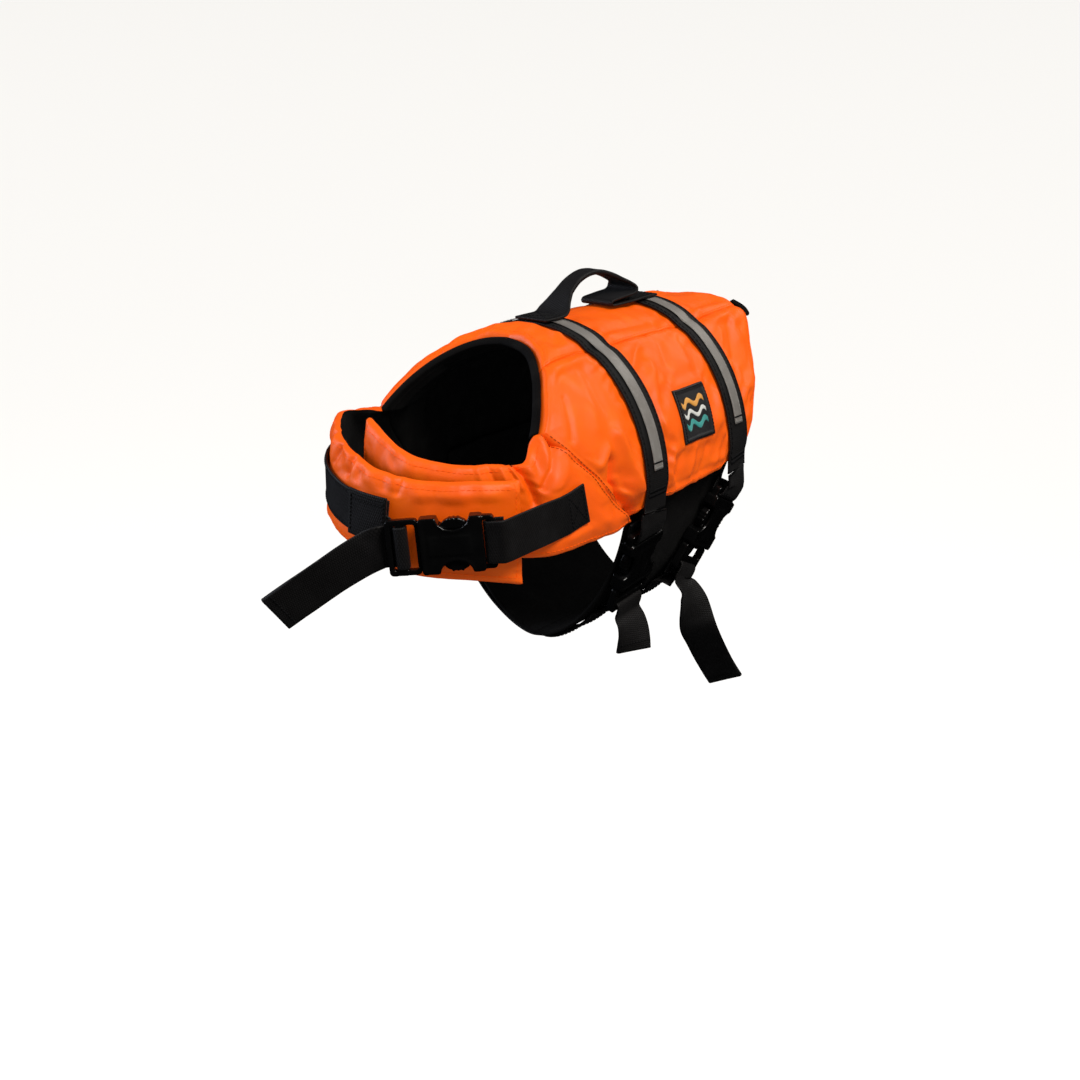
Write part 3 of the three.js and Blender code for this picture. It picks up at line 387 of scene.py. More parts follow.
def upsample(coarse, m, n):  # smooth cubic reading of a coarse grid at m by n places
    def alongFirst(field, count):
        size = field.shape[0]
        at = np.linspace(0, size - 1, count)
        i = np.clip(np.floor(at).astype(int), 0, size - 2)
        t = (at - i)[:, None, None]
        p = [field[np.clip(i + k, 0, size - 1)] for k in (-1, 0, 1, 2)]
        return (p[1] + 0.5 * t * (p[2] - p[0] + t * (2 * p[0] - 5 * p[1] + 4 * p[2] - p[3]
                + t * (3 * (p[1] - p[2]) + p[3] - p[0]))))
    return alongFirst(alongFirst(coarse, m).transpose(1, 0, 2), n).transpose(1, 0, 2)


puffing = {
    "vertex_group_mass": "sewn", "quality": 6, "mass": 0.2, "air_damping": 4, "tension_stiffness": 25,
    "compression_stiffness": 25, "shear_stiffness": 10, "bending_stiffness": 0.6, "use_pressure": True,
}
puffSteps, puffSize, puffLevel = 20, 10, 0.85


def puff(name, sheet, pinned, spec):  # small movements of the cloth between its sewn places
    m, n = sheet.shape[:2]
    mesh = bpy.data.meshes.new(name)
    mesh.from_pydata((sheet.reshape(-1, 3) * mm * puffSize).tolist(), [], gridFaces(m, n).tolist())
    cover = linked(name, mesh)
    group = cover.vertex_groups.new(name="sewn")
    for index, weight in enumerate(pinned.ravel()):
        if weight > 0.01:
            group.add([index], float(weight), "REPLACE")
    cloth = cover.modifiers.new("puff", "CLOTH")
    for key, value in puffing.items():
        setattr(cloth.settings, key, value)
    cloth.settings.uniform_pressure_force = spec["pressure"]
    cloth.settings.shrink_min = cloth.settings.shrink_max = -spec["slack"]
    cloth.settings.effector_weights.gravity = 0
    cloth.collision_settings.use_collision = False
    scene = bpy.context.scene
    for step in range(puffSteps):
        scene.frame_set(step + 1)
    shaped = cover.evaluated_get(bpy.context.evaluated_depsgraph_get())
    got = np.empty(m * n * 3)
    shaped.data.vertices.foreach_get("co", got)
    moved = got.reshape(m, n, 3) / (mm * puffSize) - sheet
    size = np.linalg.norm(moved, axis=-1, keepdims=True)
    print(f"{name}: moved {size.max():.2f} mm at most, {size.mean():.2f} on average")
    moved = moved * np.minimum(1, spec["cap"] / np.maximum(size, 1e-9))
    scene.frame_set(1)
    bpy.data.objects.remove(cover)
    return spec["share"] * (moved - puffLevel * softened(moved, spec["levelling"])) * (1 - pinned[..., None])


class Wires:  # short ways to place and join nodes in one tree
    def __init__(self, tree):
        self.tree = tree

    def put(self, socket, value):
        if isinstance(value, bpy.types.NodeSocket):
            self.tree.links.new(value, socket)
        elif value is not None:
            socket.default_value = value

    def node(self, kind, inputs=None, **settings):
        made = self.tree.nodes.new(kind)
        for key, value in settings.items():
            setattr(made, key, value)
        for key, value in (inputs or {}).items():
            self.put(made.inputs[key], value)
        return made

    def math(self, operation, a, b=None):
        return self.node("ShaderNodeMath", {0: a, 1: b}, operation=operation).outputs[0]

    def wave(self, at):  # rises and falls once in each unit
        return self.math("ABSOLUTE", self.math("SINE", self.math("MULTIPLY", at, math.pi)))

    def noise(self, scale, detail, roughness=None):
        place = self.node("ShaderNodeTexCoord").outputs["Object"]
        inputs = {"Vector": place, "Scale": scale, "Detail": detail, "Roughness": roughness}
        return self.node("ShaderNodeTexNoise", inputs).outputs[0]

    def blend(self, share, a, b, mode="MIX"):
        made = self.node("ShaderNodeMix", data_type="RGBA", blend_type=mode)
        for key, value in (("Factor_Float", share), ("A_Color", a), ("B_Color", b)):
            socket = next(s for s in made.inputs if s.identifier == key)
            self.put(socket, value)
        return next(s for s in made.outputs if s.identifier == "Result_Color")

    def spread(self, value, low, high, newLow=0.0, newHigh=1.0):
        labels = ("Value", "From Min", "From Max", "To Min", "To Max")
        inputs = dict(zip(labels, (value, low, high, newLow, newHigh)))
        return self.node("ShaderNodeMapRange", inputs).outputs["Result"]


# every other socket is a number
vector, colour = "NodeSocketVector", "NodeSocketColor"
socketKinds = {"Lay": vector, "Base": colour, "Deep": colour, "Light": colour, "Color": colour}


def effect(name, inputs, outputs, build):
    tree = bpy.data.node_groups.new(name, "ShaderNodeTree")
    for direction, labels in (("INPUT", inputs), ("OUTPUT", outputs)):
        for label in labels:
            kind = socketKinds.get(label, "NodeSocketFloat")
            tree.interface.new_socket(name=label, in_out=direction, socket_type=kind)
    wires = Wires(tree)
    given = wires.node("NodeGroupInput").outputs
    result = wires.node("NodeGroupOutput").inputs
    for label, socket in build(wires, given).items():
        tree.links.new(socket, result[label])
    return tree


def buildWeave(w, given):  # plain weave: threads pass over and under each other in turn; its shade output is painted shade where the threads sink
    part = w.node("ShaderNodeSeparateXYZ", {"Vector": given["Lay"]}).outputs
    x, y = (w.math("DIVIDE", part[k], given["Pitch"]) for k in ("X", "Y"))
    over = w.math("FLOORED_MODULO", w.math("ADD", w.math("FLOOR", x), w.math("FLOOR", y)), 2.0)
    under = w.math("SUBTRACT", 1.0, over)
    height = w.math("ADD", w.math("MULTIPLY", over, w.wave(x)), w.math("MULTIPLY", under, w.wave(y)))
    return {"Height": height, "GrooveShade": w.spread(height, 0.0, 1.0, 0.82, 1.0)}


def buildRibs(w, given):  # webbing: weft ribs across, broken by the warp's columns; its shade output paints the rib tops light and the grooves dark
    part = w.node("ShaderNodeSeparateXYZ", {"Vector": given["Lay"]}).outputs
    side = w.math("DIVIDE", part["Y"], given["Column"])
    shift = w.math("MULTIPLY", w.math("FLOORED_MODULO", w.math("FLOOR", side), 2.0), 0.5)
    rib = w.wave(w.math("ADD", w.math("DIVIDE", part["X"], given["Rib"]), shift))
    groove = w.math("ADD", 0.65, w.math("MULTIPLY", w.wave(side), 0.35))
    height = w.math("MULTIPLY", w.math("POWER", rib, 0.7), groove)
    return {"Height": height, "GrooveShade": w.spread(height, 0.0, 1.0, 0.3, 1.7)}


def buildDrift(w, given):  # slow change of colour over the cloth
    dark = w.spread(w.noise(given["Scale"], 3.0), 0.42, 0.66)
    light = w.spread(w.noise(w.math("MULTIPLY", given["Scale"], 4.3), 4.0), 0.52, 0.74)
    first = w.blend(w.math("MULTIPLY", dark, given["Amount"]), given["Base"], given["Deep"])
    return {"Color": w.blend(w.math("MULTIPLY", light, given["Amount"]), first, given["Light"])}


def buildHandling(w, given):  # worn and dusty places, as a value between two limits
    share = w.spread(w.noise(given["Scale"], 6.0, 0.62), 0.3, 0.7)
    span = w.math("SUBTRACT", given["High"], given["Low"])
    return {"Value": w.math("ADD", given["Low"], w.math("MULTIPLY", share, span))}


def buildTwist(w, given):  # plies of a sewing thread
    part = w.node("ShaderNodeSeparateXYZ", {"Vector": given["Lay"]}).outputs
    return {"Height": w.wave(w.math("ADD", w.math("MULTIPLY", part["X"], given["Turns"]), part["Y"]))}


effects = {
    "weave": effect("plainWeave", ("Lay", "Pitch"), ("Height", "GrooveShade"), buildWeave),
    "ribs": effect("webbingRibs", ("Lay", "Rib", "Column"), ("Height", "GrooveShade"), buildRibs),
    "drift": effect("colourDrift", ("Base", "Deep", "Light", "Scale", "Amount"), ("Color",), buildDrift),
    "handling": effect("handlingWear", ("Scale", "Low", "High"), ("Value",), buildHandling),
    "twist": effect("threadTwist", ("Lay", "Turns"), ("Height",), buildTwist),
}


def finish(name, look):
    made = bpy.data.materials.new(name)
    made.use_nodes = True
    made.node_tree.nodes.clear()
    w = Wires(made.node_tree)

    def use(key, **inputs):
        return w.node("ShaderNodeGroup", inputs, node_tree=effects[key]).outputs

    lay = w.node("ShaderNodeAttribute", attribute_name="lay").outputs["Vector"]
    base, deep, light = ((*tone, 1) for tone in look["tones"])
    shade = use("drift", Base=base, Deep=deep, Light=light,
                Scale=look.get("drift", 18.0), Amount=look.get("amount", 0.6))["Color"]
    bumps = []
    for key, inputs in (("weave", {"Pitch": look.get("weave")}),
                        ("ribs", {"Rib": look.get("ribs"), "Column": look.get("column")})):
        if key in look:
            cloth = use(key, Lay=lay, **inputs)
            # the weave or rib shade multiplied in here is painted light and shade, not a colour of the yarn
            shade = w.blend(look.get("tone", 0.5), shade, cloth["GrooveShade"], "MULTIPLY")
            bumps.append((cloth["Height"], look["high"]))
    if "twist" in look:
        bumps.append((use("twist", Lay=lay, Turns=look["twist"])["Height"], look["high"]))
    if "crumple" in look:
        scale, height = look["crumple"]
        bumps.append((w.noise(scale, 5.0, 0.55), height))
    normal = None
    for height, size in bumps:
        bump = {"Height": height, "Strength": 1.0, "Distance": size * mm, "Normal": normal}
        normal = w.node("ShaderNodeBump", bump).outputs["Normal"]
    low, high = look["rough"]
    shader = w.node("ShaderNodeBsdfPrincipled", {
        "Base Color": shade, "Normal": normal, "Metallic": look.get("metal"),
        "Roughness": use("handling", Scale=look.get("wear", 60.0), Low=low, High=high)["Value"],
        "Specular IOR Level": look.get("shine", 0.5), "Sheen Weight": look.get("sheen"),
        "Sheen Roughness": 0.45, "Sheen Tint": look.get("sheenTint"),
        # painted glow: the emission adds the piece's own colour as light it gives off itself
        "Emission Color": shade if "paintedGlow" in look else None, "Emission Strength": look.get("paintedGlow"),
    })
    w.node("ShaderNodeOutputMaterial", {"Surface": shader.outputs[0]})
    materials[name] = made


thread = {"weave": 0.45, "high": 0.08, "rough": (0.4, 0.55), "sheen": 0.2}
stitch = {"twist": 1.6, "high": 0.08, "shine": 0.1}
looks = {  # tones are the base colour, the deep one and the light one
    "orangeCloth": {
        "tones": ((0.93, 0.114, 0.0012), (0.87, 0.088, 0.0008), (0.96, 0.146, 0.002)),
        "drift": 16.0, "amount": 0.5, "weave": 0.55, "high": 0.03, "tone": 0.35, "crumple": (150.0, 0.16),
        # the cloth's glow is painted light, a faint self-lit glow over the whole cloth
        "rough": (0.36, 0.46), "shine": 0.22, "sheen": 0.025, "sheenTint": (1.0, 0.5, 0.3, 1), "paintedGlow": 0.06,
    },
    "blackLining": {
        "tones": ((0.0045, 0.004, 0.004), (0.002, 0.002, 0.002), (0.009, 0.0085, 0.008)),
        "weave": 0.62, "high": 0.06, "crumple": (240.0, 0.25),
        "rough": (0.74, 0.9), "shine": 0.05, "sheen": 0.01,
    },
    "blackWebbing": {
        "tones": ((0.0045, 0.004, 0.0042), (0.0025, 0.002, 0.002), (0.008, 0.0075, 0.008)),
        # tone sets how strongly the painted rib light and groove shade show
        "ribs": 1.35, "column": 1.7, "high": 0.24, "tone": 0.85, "crumple": (260.0, 0.12),
        "rough": (0.44, 0.6), "shine": 0.2, "sheen": 0.02,
    },
    "blackPlastic": {
        "tones": ((0.0022, 0.0022, 0.0024), (0.0015, 0.0015, 0.0015), (0.004, 0.004, 0.004)),
        "crumple": (900.0, 0.02), "rough": (0.2, 0.3), "shine": 0.4, "wear": 90.0,
    },
    "reflectiveTape": {
        "tones": ((0.27, 0.25, 0.23), (0.21, 0.19, 0.175), (0.34, 0.325, 0.30)),
        "drift": 45.0, "weave": 0.6, "high": 0.05, "crumple": (400.0, 0.1),
        "rough": (0.4, 0.55), "shine": 0.6, "metal": 0.35, "wear": 110.0,
    },
    "labelCloth": {
        "tones": ((0.012, 0.012, 0.014), (0.007, 0.007, 0.009), (0.02, 0.02, 0.022)),
        "weave": 0.7, "high": 0.07, "tone": 0.6, "crumple": (320.0, 0.1), "rough": (0.45, 0.62),
    },
    "amberThread": {"tones": ((0.80, 0.36, 0.05), (0.62, 0.24, 0.03), (0.92, 0.52, 0.12)), **thread},
    "tealThread": {"tones": ((0.02, 0.30, 0.27), (0.012, 0.2, 0.18), (0.05, 0.42, 0.37)), **thread},
    "whiteThread": {"tones": ((0.72, 0.72, 0.68), (0.55, 0.55, 0.52), (0.86, 0.86, 0.83)), **thread},
    "orangeStitch": {
        "tones": ((0.92, 0.108, 0.0012), (0.85, 0.084, 0.001), (0.96, 0.14, 0.002)), **stitch,
        # the stitches' glow is painted light that lifts them out of the shade they lie in
        "rough": (0.5, 0.65), "paintedGlow": 0.16,
    },
    "tanStitch": {
        "tones": ((0.46, 0.07, 0.006), (0.2, 0.035, 0.004), (0.6, 0.12, 0.012)), **stitch,
        "rough": (0.5, 0.65),
    },
    "blackStitch": {
        "tones": ((0.006, 0.006, 0.007), (0.003, 0.003, 0.003), (0.012, 0.012, 0.013)), **stitch,
        "rough": (0.45, 0.6),
    },
    "greyStitch": {
        "tones": ((0.3, 0.29, 0.27), (0.2, 0.19, 0.18), (0.45, 0.44, 0.42)), **stitch,
        "rough": (0.42, 0.6), "shine": 0.3,
    },
}
for name, look in looks.items():
    finish(name, look)
print("finishes ready:", len(looks))


saddle = {
    "alongStep": 1.1, "roundStep": 1.05, "coarse": 6.0, "share": 0.7, "levelling": 10, "seamHalf": 0.15,
    "hemStitch": 3.8, "pressure": 2.2, "slack": 0.035, "cap": 4.0,
    "panels": (("saddle_top", 0, 226, 90), ("saddle_left", 1, 224, 112), ("saddle_right", -1, 224, 112)),
}


puckers = {  # reach from the seam, pitch along it, height
    "front": (9, 6.5, 0.9), "back": (8, 7.0, 0.7), "channel": (5.5, 5.2, 0.5), "low": (8, 6.0, 0.95),
    "band": (5, 6.2, 0.45), "rim": (8, 6.5, 0.6), "bottom": (7, 7.5, 0.55), "end": (7, 6.0, 0.5),
    "shoulder": (9, 6.0, 0.9),
}


def seamPuckers(distance, alongSeam, key, seed):
    reach, pitch, height = puckers[key]
    ripple = waver(alongSeam / pitch, distance / (reach * 2.5), seed) * 0.7
    ripple = ripple + 0.3 * waver(alongSeam / pitch * 2.3, distance / reach, seed + 5)
    return height * ripple * np.exp(-np.maximum(distance, 0) / reach)


labelSpot = {"front": -18.5, "rear": 18, "top": 57, "bottom": 78}
underneath = {"label": 5, "half": 12.8, "band": 4}  # where the cloth is held flat


def underLabel(y, angle, side):
    if side <= 0:
        return np.zeros_like(y)
    away = np.maximum.reduce([
        labelSpot["front"] - y, y - labelSpot["rear"],
        (labelSpot["top"] - angle) * pad["perDegree"], (angle - labelSpot["bottom"]) * pad["perDegree"]])
    return fade(away, underneath["label"])


def underBands(y):
    share = 0
    for band in bandPlaces:
        share = np.maximum(share, fade(np.abs(y - band) - underneath["half"], underneath["band"]))
    return share


# creases of the cloth: places along each, its half width and its height
sideCreases = [  # y and angle
    ([(-112, 46), (-121, 62)], 2.2, -1.7), ([(-83, 38), (-86, 51), (-85, 60)], 5, -1.6),
    ([(-90, 37), (-94, 50), (-100, 61)], 5, 1.4),
    ([(-94, 75), (-94.5, 82), (-87, 90), (-74, 95.5)], 3.2, -6.8),
    ([(-88, 80), (-82, 87), (-75, 92)], 4.2, -2.4), ([(-106, 75), (-97, 70)], 3.2, 2.4),
    ([(-85, 66), (-79, 79), (-71, 88)], 4.5, 2.4), ([(-17, 34), (-36, 43), (-43, 48)], 3.2, -1.8),
    ([(6, 35), (-3, 45)], 3.6, -1.5), ([(-22, 43), (-33, 58), (-38, 71)], 3.6, 2.2),
    ([(-39, 72), (-41, 78)], 2.4, -1.6), ([(-32, 79), (-38, 90)], 2.8, 1.8),
    ([(-19, 80), (-27, 90)], 3, -1.5), ([(-3, 81), (-11, 90)], 3, 1.5), ([(12, 82), (5, 90)], 3, -1.3),
    ([(30, 80), (21, 90)], 3.2, 1.3), ([(35, 62), (21, 79)], 4, 1.3), ([(24, 36), (17, 48)], 4.5, 1.2),
    ([(80, 35), (67, 49)], 4, 1.7), ([(91, 38), (78, 52)], 3.5, -1.6), ([(76, 52), (69, 62)], 3, -1.5),
    ([(97, 33), (95, 45)], 4, 1.2),
]
crownCreases = [
    ([(-38, 22), (34, 23)], 4.5, -1.1), ([(-38, -23), (34, -22)], 4.5, -1.1),
    ([(-34, 10), (-8, 17)], 5, 0.9), ([(-96, 6), (-70, 14)], 5, 1.1), ([(-98, -8), (-70, -15)], 5, 1.0),
    ([(70, 8), (116, 12)], 6, 1.1), ([(70, -12), (112, -8)], 6, -1.0), ([(72, 22), (112, 24)], 4, -1.2),
]
leftFlapCreases = [  # distance along the flap and height
    ([(91, -50), (87.5, -64), (85.5, -72)], 2.7, -3.3), ([(97, -51), (94, -62)], 3, 1.3),
    ([(59, -38), (70, -52), (80, -64)], 2.1, -2.8), ([(52, -43), (63, -57), (72, -66)], 4, 1.2),
    ([(101, -49), (98, -57)], 2, -1.6), ([(108, -49), (105, -58)], 2.2, 1.4),
    ([(116, -49), (112, -58)], 2.2, -1.6), ([(124, -49), (121, -58)], 2.4, 1.2),
    ([(140, -55), (175, -50)], 5, 1.1), ([(30, -92), (62, -94)], 5, 1.0),
]
rightFlapCreases = [
    ([(169, -49), (166, -59)], 2.5, -2.3), ([(209, -55), (207, -66)], 3, -2.5),
    ([(222, -62), (266, -62.5)], 4, 1.1), ([(276, -58), (281, -62)], 3, 1.3),
    ([(150, -46), (146, -56)], 2.6, -2.0), ([(133, -40), (129, -52)], 2.8, -2.0),
    ([(118, -37), (112, -48)], 3, 1.3), ([(222, -107), (262, -109)], 4.5, 1.0),
    ([(90, -88), (130, -90)], 6, 1.2), ([(266, -104), (280, -110)], 3, -1.3),
]


def creasesRise(lines, x, y):
    rise = 0
    for places, half, height in lines:
        gap = np.full(np.shape(x), 1e9)
        for (x0, y0), (x1, y1) in zip(places[:-1], places[1:]):
            dx, dy = x1 - x0, y1 - y0
            t = np.clip(((x - x0) * dx + (y - y0) * dy) / (dx * dx + dy * dy), 0, 1)
            gap = np.minimum(gap, np.hypot(x - x0 - t * dx, y - y0 - t * dy))
        rise = rise + height * np.exp(-((gap / half) ** 1.7))
    return rise


def onGirthMap(lines, shift=(0, 0), share=1.0):  # angles turned to distances round the body
    return [([(y + shift[0], (a + shift[1]) * pad["perDegree"]) for y, a in places], half, height * share)
            for places, half, height in lines]


sideMaps = {
    1: onGirthMap(sideCreases), -1: onGirthMap(sideCreases, (8, -3), 0.8), 0: onGirthMap(crownCreases),
}


square = {"from": 62, "over": 34, "crown": (4.5, -4, 19), "corner": (3.8, 35, 9)}  # height, angle, half width


def squarer(y, angle):  # the rear end stands flatter on top, with fuller upper corners
    crown, corner = (high * np.exp(-(((a - at) / half) ** 2)) for a, (high, at, half) in (
        (angle, square["crown"]), (np.abs(angle), square["corner"])))
    return eased((y - square["from"]) / square["over"]) * (corner - crown)


def stitchGroove(distance, depth):
    return -depth * np.exp(-(((distance - saddle["hemStitch"]) / 1.2) ** 2))


def saddleDetail(y, angle, side):
    a = np.abs(angle)
    seed = 11 if side > 0 else (37 if side < 0 else 71)
    girthAt = a * pad["perDegree"]
    front, back = y - frontEdge(a), rearEdge(a) - y
    rise = 0.42 * waver(y / 15, girthAt / 46 + y / 60, seed) + 0.22 * waver(y / 7.5, girthAt / 22, seed + 1)
    channel = np.abs(a - pad["channel"]) * pad["perDegree"]
    rise = rise + seamPuckers(front, girthAt, "front", seed + 2)
    rise = rise + seamPuckers(back, girthAt, "back", seed + 3)
    rise = rise + seamPuckers(channel, y, "channel", seed + 4)
    rise = rise + stitchGroove(front, 0.5) + stitchGroove(back, 0.6)
    if side:
        low = (hemAngle(y) - a) * pad["perDegree"]
        rise = rise + seamPuckers(low, y, "low", seed + 6) + stitchGroove(low, 0.8)
    rise = rise + creasesRise(sideMaps[side], y, (angle if side == 0 else a) * pad["perDegree"])
    rise = rise + squarer(y, angle)
    for band in bandPlaces:
        rise = rise + seamPuckers(np.abs(y - band) - 12.5, girthAt, "band", seed + 8)
    quiet = np.maximum(underBands(y), underLabel(y, a, side))
    return rise * (1 - quiet)


def saddlePlaces(side, m, n):
    u, v = unitGrid(m, n)
    seam = saddle["seamHalf"] / pad["perDegree"]
    if side == 0:
        angle = mix(-(pad["channel"] - seam), pad["channel"] - seam, v)
        return mix(frontEdge(angle), rearEdge(angle), u), angle
    start = pad["channel"] + seam
    y, angle = mix(hem["y"][0], hem["y"][-1], u), start + 0 * u
    for _ in range(8):
        angle = mix(start, hemAngle(y), v)
        first = frontEdge(angle) + np.where(angle > neck["angle"][-1], saddle["seamHalf"], 0)
        y = mix(first, rearEdge(angle), u)
    return y, side * angle


def softened(field, size):  # a broad average over a grid
    for axis in (0, 1):
        for _ in range(size):
            pads = [(1, 1) if k == axis else (0, 0) for k in range(field.ndim)]
            wide = np.pad(field, pads, mode="edge")
            low = np.take(wide, range(0, field.shape[axis]), axis)
            high = np.take(wide, range(2, field.shape[axis] + 2), axis)
            field = field * 0.5 + (low + high) * 0.25
    return field


def edgeHold(m, n):
    hold = np.ones((m, n))
    hold[1:-1, 1:-1] = 0
    return hold


panels = {}


def keepPanel(name, outer, inner):
    normals = gridNormals(outer)
    if np.sum(normals * (outer - inner)) < 0:
        normals = -normals
    panels[name] = {"outer": outer, "normals": normals}


def buildSaddle():
    for name, side, length, across in saddle["panels"]:
        m, n = int(length / saddle["alongStep"]), int(across / saddle["roundStep"])
        cm, cn = int(length / saddle["coarse"]), int(across / saddle["coarse"])
        y, angle = saddlePlaces(side, cm, cn)
        sheet = girthPoint(y, angle, saddleOuter(y, angle))
        hold = np.maximum.reduce([edgeHold(cm, cn), underBands(y), underLabel(y, angle, side)])
        moved = puff(name + "_puff", sheet, hold, saddle)
        y, angle = saddlePlaces(side, m, n)
        outer = girthPoint(y, angle, saddleOuter(y, angle) + saddleDetail(y, angle, side))
        outer = outer + upsample(moved, m, n)
        inner = girthPoint(y, angle, saddleInner(y, angle))
        bulge = (1.3, 1.3, 0, 0) if side == 0 else (1.2, 1.3, 0, 1.3)
        piece = wallPiece(name + "_cloth", outer, inner, bulge, (length, across), "orangeCloth",
                          (name,), True)
        keepPanel(name, outer, inner)
    print("saddle ready")


buildSaddle()


ring = {"half": 82, "depth": 91, "y": -127, "backX": 86.5, "backY": -72}
flap = {
    "thick": 9.5, "edge": 3.5, "rimLean": 3, "height": 56, "rim": 10, "endRim": 8, "edgeDrop": 1.8,
    "crowd": 1.15, "blend": 46, "seamHalf": 0.27, "rowBlend": 19, "alongStep": 1.0, "acrossStep": 0.85,
    "coarse": 5.5, "share": 0.55, "levelling": 8, "pressure": 2.2, "slack": 0.03, "cap": 3.2,
}
leftRows = {
    "q": [0, 64, 76, 88, 100, 134, 164, 189, 212, 229],
    "top": [-34, -34, -46, -48.5, -49.5, -49, -46, -41, -34, -30],
    "bottom": [-103, -104, -104.5, -105, -104, -102, -99, -95, -90, -86],
    "inset": [0, 0, 1, 7, 10.2, 10.6, 12, 14.5, 16, 16],
    "end": 229, "side": 1, "seed": 5,
}
rightRows = {
    "q": [0, 64, 79, 104, 134, 164, 189, 219, 254, 283],
    "top": [-34, -34, -33, -34, -40, -46, -52, -55.5, -56, -57.5],
    "bottom": [-102, -98, -95, -93, -94, -98, -104, -109, -112, -117],
    "inset": [0] * 10,
    "end": 283, "side": -1, "seed": 23,
}
ringStraight = math.hypot(ring["backX"] - ring["half"], ring["backY"] - ring["y"])
ringTurn = np.linspace(0, math.pi, 201)
middle = (ringTurn[1:] + ringTurn[:-1]) / 2
ringWay = np.concatenate([[0], np.cumsum(
    np.hypot(ring["half"] * np.sin(middle), ring["depth"] * np.cos(middle)) * math.pi / 200)])


def ringPoint(q, z, offset):
    q, z, offset = np.broadcast_arrays(*(np.asarray(x, float) for x in (q, z, offset)))
    t = q / ringStraight
    ax, ay = ring["half"] - ring["backX"], ring["y"] - ring["backY"]
    size = math.hypot(ax, ay)
    flat = np.stack([mix(ring["backX"], ring["half"], t) - ay / size * offset,
                     mix(ring["backY"], ring["y"], t) + ax / size * offset, z], -1)
    turn = np.interp(q - ringStraight, ringWay, ringTurn)
    c, s = np.cos(turn), np.sin(turn)
    nx, ny = c / ring["half"], -s / ring["depth"]
    long = np.hypot(nx, ny)
    curved = np.stack([ring["half"] * c + nx / long * offset,
                       ring["y"] - ring["depth"] * s + ny / long * offset, z], -1)
    return np.where((q <= ringStraight)[..., None], flat, curved)


def seamStart(v):  # height of the shoulder seam and its place along the body
    seamZ = mix(shoulder["z"][0], shoulder["z"][-1], v)
    return seamZ, shoulderY(seamZ)


def flapPlace(rows, u, v):
    seamZ, seamY = seamStart(v)
    seamY = seamY - flap["seamHalf"]
    seamQ = ring["backY"] - seamY
    q = mix(seamQ, rows["end"], u ** flap["crowd"])
    ways = mix(lookup(rows["q"], rows["top"], q), lookup(rows["q"], rows["bottom"], q), v)
    z = mix(seamZ, ways, eased((q - seamQ) / flap["rowBlend"]))
    return q, z, seamQ, seamY


def flapAt(rows, u, v, depth, extra=0):
    u, v = np.broadcast_arrays(np.asarray(u, float), np.asarray(v, float))
    q, z, seamQ, seamY = flapPlace(rows, u, v)
    away = np.clip((q - seamQ) / flap["blend"], 0, 1)
    rimRise = padRise(np.minimum(v, 1 - v) * flap["height"], flap["rim"])
    full = rimRise * padRise(rows["end"] - q, flap["endRim"])
    thick = mix(flap["edge"], flap["thick"], full * mix(0.75, 1, away))
    inset = lookup(rows["q"], rows["inset"], q)
    offset = -inset - flap["edgeDrop"] * (1 - full) - flap["rimLean"] * (1 - v) ** 2 * ease(away)
    offset = offset - depth * thick + extra
    onRing = ringPoint(q, z, offset)
    y = ring["backY"] - q
    angle = angleAtHeight(y, z)
    dip = mix(saddleOuter(seamY + 1, rows["side"] * angle), 0, eased(away * 2))
    onGirth = girthPoint(y, angle, offset + np.minimum(dip, 0))
    return mix(onGirth, onRing, ease(away)[..., None]) * np.array([rows["side"], 1, 1])


def onFlap(rows, q, z):
    q, z = np.broadcast_arrays(np.asarray(q, float), np.asarray(z, float))
    u, v = np.full(q.shape, 0.5), np.full(q.shape, 0.5)
    for _ in range(24):
        here = flapAt(rows, u, v, 0)
        v = np.clip(v + (here[..., 2] - z) / flap["height"], 0, 1)
        seamQ = ring["backY"] - seamStart(v)[1]
        u = np.clip((q - seamQ) / (rows["end"] - seamQ), 0, 1) ** (1 / flap["crowd"])
    at = flapAt(rows, u, v, 0)
    return at, unit(at - flapAt(rows, u, v, 1))


webRows = {
    "left": {"q": [51, 55, 59, 63, 67, 71], "z": [-77, -77.8, -78.6, -79.4, -80.2, -81]},
    "right": {"q": [51, 84, 114, 144, 174, 194, 208], "z": [-69, -67, -67.5, -71.5, -76, -77.5, -79]},
    "patch": {"q": [178, 186.5, 195, 204], "z": [-75.2, -76, -76.8, -77.6], "wide": 28},
    "strap": {"q": [184, 190, 196, 200], "z": [-79.5, -81, -83, -84.6], "wide": 23},
}
# where the rim is gathered: side, distance along the flap, reach along, depth
rimPuckers = [
    (-1, 196, 5, -1.6), (-1, 205, 4, 1.2), (-1, 176, 5, -1.4), (-1, 150, 6, -1.3), (-1, 138, 4, 1.0),
    (-1, 228, 6, -1.1), (-1, 252, 5, -0.9), (-1, 118, 6, -1.2), (-1, 92, 5, -1.1), (-1, 70, 5, 1.0),
    (1, 62, 4, -1.9), (1, 69, 3.4, 1.4), (1, 76, 4, -2.0), (1, 84, 4, 1.2), (1, 93, 5, -1.3),
    (1, 112, 6, -0.9), (1, 150, 6, -1.0), (1, 172, 5, 0.8), (1, 198, 6, -1.0),
]


heldDown = {  # by the webbing, and where the buckle lies or the outer flap laps over
    "half": 13.5, "soft": 4, "from": 48, "left": 80, "right": 212, "fade": 5,
    "buckle": (206, 6, -88, 18), "lap": (96, 10, -58, 8),
}


